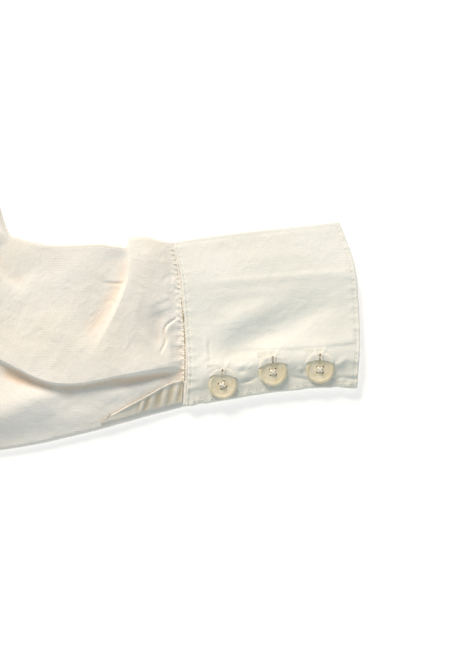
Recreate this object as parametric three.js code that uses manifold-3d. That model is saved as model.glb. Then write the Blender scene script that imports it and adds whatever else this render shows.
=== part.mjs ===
// A cotton blouse laid flat, front up, with its full sleeves bent at the elbow so that the deep
// three-button cuffs point outwards. Every cut piece is a wall of cloth with its own thickness.
//
// Units are millimetres. X runs across the blouse and is positive on the side of the wearer's left
// arm, Y runs up towards the neck and Z up from the table. The drafting point is the highest point
// of the shoulder on the centre line. The finished group is shifted so that its origin is the
// bottom centre of the garment.

import * as THREE from "three";
import Module from "manifold-3d";
import { mergeVertices } from "three/addons/utils/BufferGeometryUtils.js";

const wasm = await Module();
wasm.setup();

// Driving dimensions
const cloth = 1.2; // one layer of washed cotton
const cuffCloth = 1.5; // cuffs and neckband are cut double
const seamGap = 0.3; // left between pieces that are sewn together
const armholeGap = 0.6; // the same at the armhole, where both edges are cut in short straight steps
const layer = cloth + seamGap; // from one layer of cloth to the next

const body = {
  length: 620, // highest shoulder point to the hem at the centre
  hemRise: 18, // the hem is this much higher at the side seams
  neckHalf: 78,
  frontNeckDrop: 82,
  backNeckDrop: 18,
  shoulder: [198, -42],
  underarm: [250, -245],
  waist: [241, -400],
  hemSide: 256,
  armholeBow: 24, // how far the armhole curves in from its chord
  lapHalf: 15, // each front runs this far past the centre line
};

// The bent sleeve's overarm edge folds here. Everything on the sleeve is measured from this point.
const crook = [436, -284];

const band = {
  rise: 27, // how far the neckband stands above the highest shoulder point
  sideInset: 3.2, // it leans in, so its folds lie inside the neck points
  topHalf: 69,
  frontTopDrop: 79,
  backTopDrop: 14,
};

const button = { diameter: 17, thickness: 2.4, rim: 1.3, dish: 0.5, holeRadius: 0.9, holeSpacing: 3.4 };

// Small helpers

const vec = (x, y, z = 0) => new THREE.Vector3(x, y, z);

const mix = THREE.MathUtils.lerp;

const smooth = (value, low, high) => THREE.MathUtils.smoothstep(value, low, high);

const shares = (count) => Array.from({ length: count }, (_, k) => k / count);

// A smooth curve through the rows of a table, read at an even share of its rows.
function curveThrough(points) {
  const curve = new THREE.CatmullRomCurve3(points.map((p) => vec(...p)), false, "catmullrom", 0.5);
  return (share) => curve.getPoint(THREE.MathUtils.clamp(share, 0, 1));
}

// A surface patch between four edge curves. u runs from left to right and v from bottom to top.
function patch({ bottom, top, left, right }) {
  const corners = [bottom(0), bottom(1), top(0), top(1)];
  return (u, v) => {
    const point = bottom(u).clone().multiplyScalar(1 - v);
    point.addScaledVector(top(u), v);
    point.addScaledVector(left(v), 1 - u);
    point.addScaledVector(right(v), u);
    point.addScaledVector(corners[0], -(1 - u) * (1 - v));
    point.addScaledVector(corners[1], -u * (1 - v));
    point.addScaledVector(corners[2], -(1 - u) * v);
    point.addScaledVector(corners[3], -u * v);
    return point;
  };
}

// The unit normals of a grid of points, from the steps along its rows and columns.
function gridNormals(grid, closed) {
  const rows = grid.length;
  const columns = grid[0].length;
  return grid.map((row, i) =>
    row.map((point, j) => {
      const before = closed ? (j + columns - 1) % columns : Math.max(j - 1, 0);
      const after = closed ? (j + 1) % columns : Math.min(j + 1, columns - 1);
      const along = grid[Math.min(i + 1, rows - 1)][j].clone().sub(grid[Math.max(i - 1, 0)][j]);
      const around = row[after].clone().sub(row[before]);
      return along.cross(around).normalize();
    }),
  );
}

// A wall of even thickness about a grid of points. A closed grid joins its last column to its first.
function clothWall(grid, thickness, closed = false) {
  const rows = grid.length;
  const columns = grid[0].length;
  const normals = gridNormals(grid, closed);
  const positions = [];
  for (const half of [thickness / 2, -thickness / 2]) {
    grid.forEach((row, i) =>
      row.forEach((point, j) => {
        const moved = point.clone().addScaledVector(normals[i][j], half);
        positions.push(moved.x, moved.y, moved.z);
      }),
    );
  }
  const outer = (i, j) => i * columns + (j % columns);
  const inner = (i, j) => rows * columns + outer(i, j);
  const faces = [];
  const quad = (a, b, c, d) => faces.push(a, b, c, a, c, d);
  const spans = closed ? columns : columns - 1;
  for (let j = 0; j < spans; j++) {
    for (let i = 0; i < rows - 1; i++) {
      quad(outer(i, j), outer(i + 1, j), outer(i + 1, j + 1), outer(i, j + 1));
      quad(inner(i, j), inner(i, j + 1), inner(i + 1, j + 1), inner(i + 1, j));
    }
    quad(outer(0, j), outer(0, j + 1), inner(0, j + 1), inner(0, j));
    quad(outer(rows - 1, j), inner(rows - 1, j), inner(rows - 1, j + 1), outer(rows - 1, j + 1));
  }
  if (!closed) {
    for (let i = 0; i < rows - 1; i++) {
      quad(outer(i, 0), inner(i, 0), inner(i + 1, 0), outer(i + 1, 0));
      quad(outer(i, spans), outer(i + 1, spans), inner(i + 1, spans), inner(i, spans));
    }
  }
  const geometry = new THREE.BufferGeometry();
  geometry.setAttribute("position", new THREE.Float32BufferAttribute(positions, 3));
  geometry.setIndex(signedVolume(positions, faces) < 0 ? faces.reverse() : faces);
  geometry.computeVertexNormals();
  return geometry;
}

function signedVolume(positions, faces) {
  let volume = 0;
  const corner = (k) => vec(...positions.slice(3 * faces[k], 3 * faces[k] + 3));
  for (let k = 0; k < faces.length; k += 3) {
    volume += corner(k).dot(corner(k + 1).cross(corner(k + 2))) / 6;
  }
  return volume;
}

// Folds. Each is a crest line with its own height. left and right are how far the cloth takes to
// fall away on either side of the line, seen along it, and the crest fades in over the share
// `start` of its length and out over the share `end`.

const pathSteps = 24;

function readyFold(fold) {
  const at = curveThrough(fold.path);
  const line = Array.from({ length: pathSteps + 1 }, (_, k) => at(k / pathSteps));
  return { ...fold, line };
}

function foldHeight(fold, x, y) {
  let nearest = { distance: Infinity, share: 0, side: 1 };
  for (let k = 0; k < pathSteps; k++) {
    const from = fold.line[k];
    const to = fold.line[k + 1];
    const step = [to.x - from.x, to.y - from.y];
    const offset = [x - from.x, y - from.y];
    const lengthSquared = step[0] ** 2 + step[1] ** 2;
    const raw = (offset[0] * step[0] + offset[1] * step[1]) / lengthSquared;
    const share = THREE.MathUtils.clamp(raw, 0, 1);
    const distance = Math.hypot(offset[0] - share * step[0], offset[1] - share * step[1]);
    if (distance < nearest.distance) {
      const side = Math.sign(step[0] * offset[1] - step[1] * offset[0]) || 1;
      nearest = { distance, share: (k + share) / pathSteps, side };
    }
  }
  const width = nearest.side > 0 ? fold.left : fold.right;
  const fadeIn = fold.start ? smooth(nearest.share, 0, fold.start) : 1;
  const fadeOut = fold.end ? 1 - smooth(nearest.share, 1 - fold.end, 1) : 1;
  return fold.height * fadeIn * fadeOut * Math.exp(-((nearest.distance / width) ** 2));
}

const reliefOf = (folds, x, y) => folds.reduce((sum, fold) => sum + foldHeight(fold, x, y), 0);

// The outlines that several pieces share

// How far the armhole lies off its chord, at a share of the way from the underarm to the shoulder
// point. A gap moves it out from the body.
function armholeCurve(share, gap = 0) {
  const chord = vec(body.shoulder[0] - body.underarm[0], body.shoulder[1] - body.underarm[1]);
  const inward = vec(-chord.y, chord.x).normalize();
  return inward.multiplyScalar(4 * share * (1 - share) * body.armholeBow - gap);
}

function armholePoint(share) {
  const [x0, y0] = body.underarm;
  const [x1, y1] = body.shoulder;
  return vec(mix(x0, x1, share), mix(y0, y1, share)).add(armholeCurve(share));
}

const sideSeam = curveThrough([
  [body.hemSide, -body.length + body.hemRise],
  body.waist,
  body.underarm,
]);

const hemPoint = (x) => vec(x, -body.length + body.hemRise * (x / body.hemSide) ** 2);

const neckPoint = (angle, drop) => vec(body.neckHalf * Math.sin(angle), -drop * Math.cos(angle));

const shoulderPoint = (share) => vec(mix(body.neckHalf, body.shoulder[0], share), share * body.shoulder[1]);

// Body panels

// The columns of a front stand closer at its free edge, where the lap steps down. One of them ends
// at the neck point.
const frontColumns = [0, 0.06, 0.115, 0.17, 0.225, 0.29, 0.36, 0.43, 0.5, 0.583, 0.667, 0.75, 0.833, 0.917, 1];
const sideRows = 8; // steps of a front from the hem to the underarm
const armholeRows = 9; // and from there to the shoulder

// Long soft folds in the fronts, for the side with positive x. The other front mirrors them.
const frontFolds = [
  { path: [[150, -90], [135, -230], [150, -420]], height: 1.9, left: 17, right: 13, start: 0.3, end: 0.4 },
  { path: [[236, -262], [186, -300], [120, -318]], height: 2.2, left: 12, right: 16, start: 0.3, end: 0.5 },
  { path: [[200, -350], [190, -470], [206, -604]], height: 2.4, left: 14, right: 18, start: 0.4, end: 0.1 },
  { path: [[82, -330], [70, -460], [84, -612]], height: 2.1, left: 18, right: 14, start: 0.4, end: 0.1 },
  { path: [[60, -110], [74, -190], [66, -280]], height: 1.4, left: 12, right: 12, start: 0.4, end: 0.5 },
].map(readyFold);

// The middle of the front's cloth. The lapping front climbs over the other at the centre line.
function frontSurface(x, y, lapping) {
  const edgeCalm = smooth(x, 22, 46) * (1 - smooth(x, 228, 248)) * smooth(-y, 70, 120);
  const climb = lapping ? layer * (1 - smooth(x, body.lapHalf + 1.5, body.lapHalf + 15)) : 0;
  return cloth / 2 + layer + edgeCalm * reliefOf(frontFolds, x, y) + climb;
}

const neckShare = 0.5; // of a front's top edge
const sideShare = 0.62; // of its outer edge

// A front, from its own free edge past the centre line to the side seam and armhole.
function frontPatch() {
  const inner = -body.lapHalf;
  const firstAngle = Math.asin(inner / body.neckHalf);
  const neck = (share) => neckPoint(mix(firstAngle, Math.PI / 2, share), body.frontNeckDrop);
  return patch({
    bottom: (u) => hemPoint(mix(inner, body.hemSide, u)),
    top: (u) => (u < neckShare ? neck(u / neckShare) : shoulderPoint((u - neckShare) / (1 - neckShare))),
    left: (v) => vec(inner, mix(hemPoint(inner).y, neck(0).y, v)),
    right: (v) => (v < sideShare ? sideSeam(v / sideShare) : armholePoint((v - sideShare) / (1 - sideShare))),
  });
}

function frontPanel(lapping) {
  const at = frontPatch();
  const rows = [
    ...shares(sideRows).map((share) => share * sideShare),
    ...shares(armholeRows).map((share) => mix(sideShare, 1, share)),
    1,
  ];
  const grid = rows.map((v) =>
    frontColumns.map((u) => {
      const point = at(u, v);
      point.z = frontSurface(point.x, point.y, lapping);
      return point;
    }),
  );
  return clothWall(grid, cloth);
}

// The back lies flat on the table, so it is its outline given the thickness of the cloth.
function backPanel() {
  const half = [
    ...shares(12).map((share) => hemPoint(share * body.hemSide)),
    ...shares(8).map((share) => sideSeam(share)),
    ...shares(12).map((share) => armholePoint(share)),
    ...shares(6).map((share) => shoulderPoint(1 - share)),
    ...shares(9).map((share) => neckPoint((1 - share) * (Math.PI / 2), body.backNeckDrop)),
    neckPoint(0, body.backNeckDrop),
  ];
  const otherHalf = half.slice(1, -1).reverse().map((p) => vec(-p.x, p.y));
  const outline = new THREE.Shape([...half, ...otherHalf].map((p) => new THREE.Vector2(p.x, p.y)));
  return new THREE.ExtrudeGeometry(outline, { depth: cloth, bevelEnabled: false });
}

// Neckband: one doubled strip that runs round the neck from one front edge to the other. It folds
// flat at both sides of the neck, with its front half on its back half.

const bandBackLevel = cuffCloth / 2;
const bandFrontLevel = bandBackLevel + cuffCloth + 0.5;
const bandSteps = { front: 15, fold: 4, back: 14 };

function neckband() {
  const bottomHalf = body.neckHalf - band.sideInset;
  const edge = (half, drop, top, angle) => vec(half * Math.sin(angle), top - drop * Math.cos(angle));
  const gap = seamGap + 0.5;
  const stations = [];
  const lapAngle = Math.asin(body.lapHalf / bottomHalf);
  const frontStation = (angle, level) => ({
    low: edge(bottomHalf, body.frontNeckDrop - gap, 0, angle),
    high: edge(band.topHalf, band.frontTopDrop, band.rise, angle),
    level,
  });
  const backStation = (angle) => ({
    low: edge(bottomHalf, body.backNeckDrop - gap, 0, angle),
    high: edge(band.topHalf, band.backTopDrop, band.rise, angle),
    level: bandBackLevel,
  });
  const foldRadius = (bandFrontLevel - bandBackLevel) / 2;
  const foldStation = (sign, share) => {
    const turn = share * Math.PI;
    const out = foldRadius * Math.sin(turn);
    const level = bandBackLevel + foldRadius * (1 + Math.cos(turn));
    const low = vec(sign * (bottomHalf + out), 0);
    const high = vec(sign * (band.topHalf + out), band.rise);
    return { low, high, level };
  };
  const quarter = Math.PI / 2;
  for (let k = 0; k < bandSteps.front; k++) {
    stations.push(frontStation(mix(-lapAngle, quarter, k / bandSteps.front), bandFrontLevel));
  }
  for (let k = 0; k <= bandSteps.fold; k++) stations.push(foldStation(1, k / bandSteps.fold));
  for (let k = 1; k < bandSteps.back; k++) {
    stations.push(backStation(mix(quarter, -quarter, k / bandSteps.back)));
  }
  for (let k = bandSteps.fold; k >= 0; k--) stations.push(foldStation(-1, k / bandSteps.fold));
  for (let k = bandSteps.front - 1; k >= 0; k--) {
    const angle = mix(lapAngle, -quarter, k / bandSteps.front);
    const climb = 1 - smooth(-angle, 0.24, 0.42);
    stations.push(frontStation(angle, bandFrontLevel + (cuffCloth + seamGap) * climb));
  }
  const grid = stations.map(({ low, high, level }) =>
    [0, 0.5, 1].map((share) => {
      const point = low.clone().lerp(high, share);
      point.z = level;
      return point;
    }),
  );
  return clothWall(grid, cuffCloth);
}

// Sleeve. Each row is a line across the flattened sleeve, from the overarm edge to the underarm
// edge, with the radius of the soft folds along those edges. The rows close up at the crook.
const sleeveRows = [
  { over: [-238, 242], under: [-185.2, 38.6], roll: 0.75 },
  { over: [-180, 218], under: [-173, 20], roll: 1.4 },
  { over: [-120, 176], under: [-158, -14], roll: 2.1 },
  { over: [-70, 126], under: [-143, -48], roll: 2.3 },
  { over: [-32, 74], under: [-126, -80], roll: 2.3 },
  { over: [-11, 33], under: [-103, -107], roll: 2.2 },
  { over: [-1, 3], under: [-75.4, -124.2], roll: 2 },
  { over: [6.6, -1.8], under: [-43.4, -131.2], roll: 2.1 },
  { over: [15.6, -4.2], under: [-11.4, -130.8], roll: 2.3 },
  { over: [25.6, -6], under: [14.6, -127.2], roll: 2.4 },
  { over: [39.6, -6], under: [34.6, -122.8], roll: 2.4 },
  { over: [54.6, -5.6], under: [53.6, -118.2], roll: 2.3 },
  { over: [67.6, -6.8], under: [67.6, -114.2], roll: 2.1 },
  { over: [73.6, -1.4], under: [76.6, -111.8], roll: 1.9 },
  { over: [81.6, -1.2], under: [85.6, -109.2], roll: 1.7 },
  { over: [90.6, -3.8], under: [94.6, -107], roll: 1.3 },
  { over: [97.8, -5.2], under: [105.2, -104.2], roll: 1.1 },
];

const cuffSeamBow = 4.2; // the cuff seam curves out by this much at its middle

// The largest folds of the sleeve, in the order that they lie down the arm.
const sleeveFolds = [
  {
    name: "shoulder_drape",
    path: [[-198, 216], [-144, 132], [-106, 48]],
    height: 2.6, left: 16, right: 24, start: 0.35, end: 0.4,
  },
  {
    name: "underarm_drag",
    path: [[-170, 22], [-132, 14], [-70, 32]],
    height: 2.2, left: 12, right: 12, start: 0.2, end: 0.5,
  },
  {
    name: "overarm_soft",
    path: [[-98, 134], [-58, 78], [-32, 22]],
    height: 2.4, left: 12, right: 18, start: 0.4, end: 0.3,
  },
  {
    name: "elbow_fan_high",
    path: [[-13, -16], [-61, -52], [-99, -70]],
    height: 2.6, left: 14, right: 9, start: 0.2, end: 0.4,
  },
  {
    name: "elbow_fan_low",
    path: [[-11, -32], [-43, -80], [-69, -106]],
    height: 2.4, left: 13, right: 9, start: 0.3, end: 0.3,
  },
  {
    name: "crook_tuck",
    path: [[-71, -31], [-50, -13], [-23, -3.7], [1.6, -0.7]],
    height: 3.4, left: 4, right: 26, start: 0.5, end: 0,
  },
  {
    name: "crook_ridge",
    path: [[-29, -12], [-5, -27], [8, -38], [27, -52]],
    height: 1.8, left: 7, right: 26, start: 0.3, end: 0.4,
  },
  {
    name: "puff_overhang",
    path: [[-43, -58], [-5, -75], [40, -89], [73, -85], [106, -81]],
    height: 5.4, left: 44, right: 4.5, start: 0.45, end: 0.2,
  },
  {
    name: "gather_pleat",
    path: [[74, -1.2], [74.6, -17], [71, -34], [64, -51], [55, -70]],
    height: 3.4, left: 15, right: 5, start: 0, end: 0.7,
  },
  {
    name: "lower_roll",
    path: [[-60, -108], [-28, -111], [-5, -109.5], [14, -103.5], [46, -93]],
    height: 2.6, left: 13, right: 11, start: 0.3, end: 0.4,
  },
].map(readyFold);

const rowPoints = (key) => curveThrough(sleeveRows.map((row) => [...row[key], row.roll]));
const overEdge = rowPoints("over");
const underEdge = rowPoints("under");

// A point in plan on the sleeve. s runs from the armhole to the cuff seam and across from the
// overarm edge, 0, to the underarm edge, 1.
function sleevePlan(s, across) {
  const point = overEdge(s).lerp(underEdge(s), across);
  point.z = 0;
  const arch = 4 * across * (1 - across);
  point.addScaledVector(armholeCurve(1 - across, armholeGap), Math.exp(-((s / 0.045) ** 2)));
  point.x += arch * cuffSeamBow * Math.exp(-(((1 - s) / 0.12) ** 2));
  return point;
}

// The cuff seam gathers the sleeve's upper layer into even waves, which end where the lap begins.
const gathers = { waves: 12.5, height: 0.5, from: 0.84, to: 0.97, edge: 0.018, lapEdge: 0.8 };

function gatherHeight(s, across) {
  const even = (across - gathers.edge) / (1 - 2 * gathers.edge);
  const inStrip = smooth(even, 0, 0.08) * (1 - smooth(across, gathers.lapEdge - 0.08, gathers.lapEdge));
  const wave = Math.cos(2 * Math.PI * gathers.waves * even);
  return gathers.height * smooth(s, gathers.from, gathers.to) * inStrip * wave;
}

// The height of the middle of the sleeve's upper layer.
function sleeveLevel(s, across, point) {
  const roll = overEdge(s).z;
  const calm = smooth(s, 0, 0.12) * (1 - 0.85 * smooth(s, 0.93, 1));
  const rounded = (1 - (2 * across - 1) ** 6) * calm;
  const fullness = 1.1 * (1 - (2 * across - 1) ** 2);
  const relief = rounded * (fullness + reliefOf(sleeveFolds, point.x, point.y));
  return cloth / 2 + 2 * roll + relief + gatherHeight(s, across);
}

const sleeveStations = 30;
const sleeveUpper = 2 * gathers.waves + 1; // one column on each crest and in each trough
const sleeveLower = 4;
const rollSteps = 2;

// The upper layer is cut closer where its folds are, past the crook.
const stationShare = (i) => {
  const even = i / (sleeveStations - 1);
  return even < 0.3 ? even * (0.36 / 0.3) : 0.36 + (even - 0.3) * (0.64 / 0.7);
};

function sleeve() {
  const lowerLevel = cloth / 2;
  const grid = Array.from({ length: sleeveStations }, (_, i) => {
    const s = stationShare(i);
    const width = overEdge(s).setZ(0).distanceTo(underEdge(s).setZ(0));
    const roll = overEdge(s).z;
    const inset = (roll + cloth / 2) / width;
    const section = [];
    for (let k = 0; k < sleeveUpper; k++) {
      const across = mix(inset, 1 - inset, k / (sleeveUpper - 1));
      const point = sleevePlan(s, across);
      point.z = sleeveLevel(s, across, point);
      section.push(point);
    }
    const rollPoint = (edge, sign, turn) => {
      const point = sleevePlan(s, edge + (sign * roll * Math.sin(turn)) / width);
      point.z = lowerLevel + roll * (1 + Math.cos(turn));
      return point;
    };
    for (let k = 1; k <= rollSteps; k++) section.push(rollPoint(1 - inset, 1, (k / (rollSteps + 1)) * Math.PI));
    for (let k = 0; k < sleeveLower; k++) {
      const point = sleevePlan(s, mix(1 - inset, inset, k / (sleeveLower - 1)));
      point.z = lowerLevel;
      section.push(point);
    }
    for (let k = rollSteps; k >= 1; k--) section.push(rollPoint(inset, -1, (k / (rollSteps + 1)) * Math.PI));
    return section;
  });
  return clothWall(grid, cloth, true);
}

// The gathered lap that finishes the slit above the cuff. It lies on the sleeve between its own
// upper edge and the underarm edge, and narrows to nothing towards the elbow.
const lapRows = [
  { s: 0.692, high: 0.952 },
  { s: 0.763, high: 0.917 },
  { s: 0.82, high: 0.9 },
  { s: 0.87, high: 0.88 },
  { s: 0.94, high: 0.838 },
  { s: 0.99, high: 0.83 },
];

function sleeveLap() {
  const at = curveThrough(lapRows.map((row) => [row.s, row.high]));
  const steps = { along: 14, across: 4 };
  const lapCloth = 1;
  const lowEdge = 0.97;
  const puckerHeight = 0.5; // every other row stands up between the two edges
  const grid = Array.from({ length: steps.along + 1 }, (_, i) => {
    const { x: s, y: high } = at(i / steps.along);
    return Array.from({ length: steps.across + 1 }, (_, j) => {
      const across = mix(high, lowEdge, j / steps.across);
      const point = sleevePlan(s, across);
      point.z = sleeveLevel(s, across, point);
      return point;
    });
  });
  const lift = cloth / 2 + seamGap + lapCloth / 2;
  const normals = gridNormals(grid, false);
  const sign = Math.sign(normals[0][0].z);
  const pucker = (i, j) => (i % 2) * puckerHeight * Math.sin((Math.PI * j) / steps.across);
  grid.forEach((row, i) => {
    row.forEach((point, j) => point.addScaledVector(normals[i][j], sign * (lift + pucker(i, j))));
  });
  return clothWall(grid, lapCloth);
}

// Cuff: one doubled strip that wraps the flattened wrist. It starts at the button lap, which lies
// inside, runs under to the top edge and comes back over to end at the buttonhole edge.

const cuffEdges = {
  over: curveThrough([[98.2, -5], [116.4, -2.1], [142.2, 1.2], [171, 4.4], [198, 7.5]]),
  under: curveThrough([[105.8, -104.1], [126.2, -101.1], [156, -96], [186, -93.2], [208.8, -93]]),
  seam: curveThrough([[98.2, -5], [103.2, -27.6], [105.4, -53.2], [107.2, -80.2], [105.8, -104.1]]),
  end: curveThrough([[198, 7.5], [207.2, -19.8], [209.8, -46.2], [210.2, -70.2], [208.8, -93]]),
};

const cuffPlan = patch({
  bottom: cuffEdges.over,
  top: cuffEdges.under,
  left: cuffEdges.seam,
  right: cuffEdges.end,
});

const cuff = {
  width: 100, // across the flattened cuff
  lap: 0.27, // share of the width that the button lap covers
  roll: 0.95,
  ridge: 0.3, // the upper layer is highest along this line, as a share of the width
  ridgeHeight: 2.6,
  swell: 0.76, // over the button lap it rises again and falls away to the buttonhole edge
  swellHeight: 2,
  stations: 9,
  seamShift: 0.012, // keeps the seam edge clear of the sleeve
};

const cuffLower = cuffCloth / 2;
const cuffUpper = cuffLower + 2 * cuff.roll;
const cuffTop = cuffUpper + cuffCloth + seamGap; // the buttonhole edge lies on the button lap

const cuffRidge = (across) =>
  cuff.ridgeHeight * (smooth(across, 0.02, cuff.ridge) - smooth(across, cuff.ridge, 0.78));

const cuffSwell = (across) =>
  cuff.swellHeight * (smooth(across, 0.54, cuff.swell) - smooth(across, cuff.swell + 0.02, 0.99));

const cuffLevel = (across) => {
  const climb = smooth(across, 1 - cuff.lap - 0.16, 1 - cuff.lap - 0.02);
  return mix(cuffUpper, cuffTop, climb) + cuffRidge(across) + cuffSwell(across);
};

function cuffWall() {
  const section = [];
  const inset = (cuff.roll + cuffCloth / 2) / cuff.width;
  const lapSteps = 4;
  const lowerSteps = 6;
  const upperSteps = 14;
  for (let k = 0; k < lapSteps; k++) {
    section.push([mix(1 - cuff.lap, 1 - inset, k / lapSteps), cuffUpper]);
  }
  const rolled = (edge, sign, turn) => [
    edge + (sign * cuff.roll * Math.sin(turn)) / cuff.width,
    cuffLower + cuff.roll * (1 + Math.cos(turn)),
  ];
  for (let k = 0; k <= rollSteps + 1; k++) section.push(rolled(1 - inset, 1, (k / (rollSteps + 1)) * Math.PI));
  for (let k = 1; k < lowerSteps; k++) section.push([mix(1 - inset, inset, k / lowerSteps), cuffLower]);
  for (let k = rollSteps + 1; k >= 0; k--) section.push(rolled(inset, -1, (k / (rollSteps + 1)) * Math.PI));
  for (let k = 1; k <= upperSteps; k++) {
    const across = mix(inset, 0.995, k / upperSteps);
    section.push([across, cuffLevel(across)]);
  }
  const grid = Array.from({ length: cuff.stations }, (_, i) => {
    const along = mix(cuff.seamShift, 1, i / (cuff.stations - 1));
    return section.map(([across, level]) => cuffPlan(along, across).setZ(level));
  });
  return clothWall(grid, cuffCloth);
}

// Buttons: dished discs with four holes

function buttonGeometry() {
  const radius = button.diameter / 2;
  const chamfer = 0.7;
  const profile = [
    [0, 0],
    [radius - chamfer, 0],
    [radius, button.thickness - 2 * chamfer],
    [radius - chamfer, button.thickness],
    [radius - chamfer - button.rim, button.thickness],
    [radius - chamfer - button.rim - button.dish, button.thickness - button.dish],
    [0, button.thickness - button.dish],
  ];
  const disc = new THREE.LatheGeometry(profile.map((p) => new THREE.Vector2(...p)), 13);
  disc.rotateX(Math.PI / 2);
  const holes = [-1, 1].flatMap((i) =>
    [-1, 1].map((j) => {
      const hole = new THREE.CylinderGeometry(button.holeRadius, button.holeRadius, 2 * button.thickness, 4);
      hole.rotateX(Math.PI / 2);
      hole.translate((i * button.holeSpacing) / 2, (j * button.holeSpacing) / 2, button.thickness / 2);
      return hole;
    }),
  );
  return holes.reduce((solid, hole) => solid.subtract(solidOf(hole)), solidOf(disc));
}

// A closed three.js geometry as a solid that can be cut, and back again.
function solidOf(geometry) {
  const bare = geometry.clone().deleteAttribute("normal").deleteAttribute("uv");
  const merged = mergeVertices(bare, 1e-3);
  return new wasm.Manifold(
    new wasm.Mesh({
      numProp: 3,
      vertProperties: merged.attributes.position.array,
      triVerts: new Uint32Array(merged.index.array),
    }),
  );
}

function geometryOf(solid) {
  const mesh = solid.getMesh();
  const geometry = new THREE.BufferGeometry();
  geometry.setAttribute("position", new THREE.BufferAttribute(mesh.vertProperties, mesh.numProp));
  geometry.setIndex(new THREE.BufferAttribute(mesh.triVerts, 1));
  geometry.computeVertexNormals();
  return geometry;
}

// Each cuff button: its place along the cuff and across it, and its turn on its thread.
const cuffButtons = [
  { along: 0.264, across: 0.893, turn: 0.45 },
  { along: 0.5165, across: 0.86, turn: 0.12 },
  { along: 0.752, across: 0.871, turn: 0 },
];

// A cuff button lies on the slope of its cuff: the slope, and the level of the middle of its back.
function buttonRest(across) {
  const reach = button.diameter / 2 / cuff.width;
  const slope = (cuffLevel(across - reach) - cuffLevel(across + reach)) / button.diameter;
  const levelUnder = (k) => cuffLevel(across + k * reach) + k * slope * (button.diameter / 2);
  const highest = Math.max(...[-1, -0.5, 0, 0.5, 1].map(levelUnder));
  return { tilt: Math.atan(slope), level: highest + cuffCloth / 2 + seamGap };
}

// The placket buttons hang from the one on the neckband at an even spacing.
const placket = { first: -112, last: -540, count: 6, bandButton: -66 };

// Materials

const creamCotton = new THREE.MeshStandardMaterial({ color: 0xf1e9d8, roughness: 0.92, metalness: 0 });
const cuffCotton = new THREE.MeshStandardMaterial({ color: 0xf2ecdc, roughness: 0.9, metalness: 0 });
const hornButton = new THREE.MeshStandardMaterial({ color: 0xc9bd92, roughness: 0.42, metalness: 0 });

// The blouse, put together

function piece(name, geometry, material) {
  const mesh = new THREE.Mesh(geometry, material);
  mesh.name = name;
  return mesh;
}

const blouse = new THREE.Group();
const garment = new THREE.Group();
garment.position.y = (body.length - band.rise) / 2;
blouse.add(garment);

garment.add(piece("back", backPanel(), creamCotton));
garment.add(piece("front_left", frontPanel(false), creamCotton));
garment.add(piece("neckband", neckband(), cuffCotton));

const mirrored = new THREE.Group();
mirrored.scale.x = -1;
garment.add(mirrored);
mirrored.add(piece("front_right", frontPanel(true), creamCotton));

const buttonSolid = geometryOf(buttonGeometry());

function addSleeve(half, side) {
  const parent = new THREE.Group();
  parent.position.set(...crook, 0);
  half.add(parent);
  parent.add(piece(`sleeve_${side}`, sleeve(), creamCotton));
  parent.add(piece(`sleeve_lap_${side}`, sleeveLap(), creamCotton));
  parent.add(piece(`cuff_${side}`, cuffWall(), cuffCotton));
  cuffButtons.forEach(({ along, across, turn }, k) => {
    const placed = piece(`cuff_button_${side}_${k + 1}`, buttonSolid, hornButton);
    const { tilt, level } = buttonRest(across);
    placed.position.copy(cuffPlan(along, across)).setZ(level);
    placed.rotation.set(tilt, 0, turn);
    parent.add(placed);
  });
}

addSleeve(garment, "left");
addSleeve(mirrored, "right");

const placketTop = cloth / 2 + 2 * layer + cloth / 2;
for (let k = 0; k < placket.count; k++) {
  const placed = piece(`front_button_${k + 1}`, buttonSolid, hornButton);
  placed.position.set(0, mix(placket.first, placket.last, k / (placket.count - 1)), placketTop + seamGap);
  garment.add(placed);
}
const bandButton = piece("band_button", buttonSolid, hornButton);
const bandTop = bandFrontLevel + cuffCloth + seamGap + cuffCloth / 2;
bandButton.position.set(0, placket.bandButton, bandTop + seamGap);
garment.add(bandButton);

export default blouse;
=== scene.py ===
import math

import bmesh
import bpy
import numpy as np
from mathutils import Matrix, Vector


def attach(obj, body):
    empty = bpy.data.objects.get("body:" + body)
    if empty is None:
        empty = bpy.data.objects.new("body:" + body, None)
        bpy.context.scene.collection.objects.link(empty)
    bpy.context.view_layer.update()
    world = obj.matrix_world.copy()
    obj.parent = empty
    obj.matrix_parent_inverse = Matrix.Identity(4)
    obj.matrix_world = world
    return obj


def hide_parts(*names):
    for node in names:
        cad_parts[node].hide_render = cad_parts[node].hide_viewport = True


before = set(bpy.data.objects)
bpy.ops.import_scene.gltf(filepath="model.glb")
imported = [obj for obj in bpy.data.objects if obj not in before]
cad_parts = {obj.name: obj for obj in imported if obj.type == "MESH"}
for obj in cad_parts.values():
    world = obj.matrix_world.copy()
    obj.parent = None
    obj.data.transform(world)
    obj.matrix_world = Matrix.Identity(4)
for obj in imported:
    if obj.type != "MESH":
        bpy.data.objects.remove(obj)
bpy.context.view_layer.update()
print("frame loaded")

# Lengths below are millimetres on the blouse's own draft: x across, y up to the neck, z off the table.
# The draft's y starts at the highest shoulder point. Everything on a sleeve is measured from its crook.
draft = {"cloth": 1.2, "doubled": 1.5, "seamGap": 0.3, "shiftY": 296.5, "crook": (436.0, -284.0)}
sleeves = ((1, "left", 11), (-1, "right", 12))  # side, name and the seed of its small folds
scene = bpy.context.scene


# curves, grids and walls


def smooth(value, low, high):
    t = np.clip((value - low) / (high - low), 0, 1)
    return t * t * (3 - 2 * t)


def mix(a, b, share):
    return a + (b - a) * share


def sharesThrough(at, before, after):  # shares from 0 to 1, spaced on their own on each side of one
    return np.concatenate([np.linspace(0, at, before, endpoint=False), np.linspace(at, 1, after)])


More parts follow.
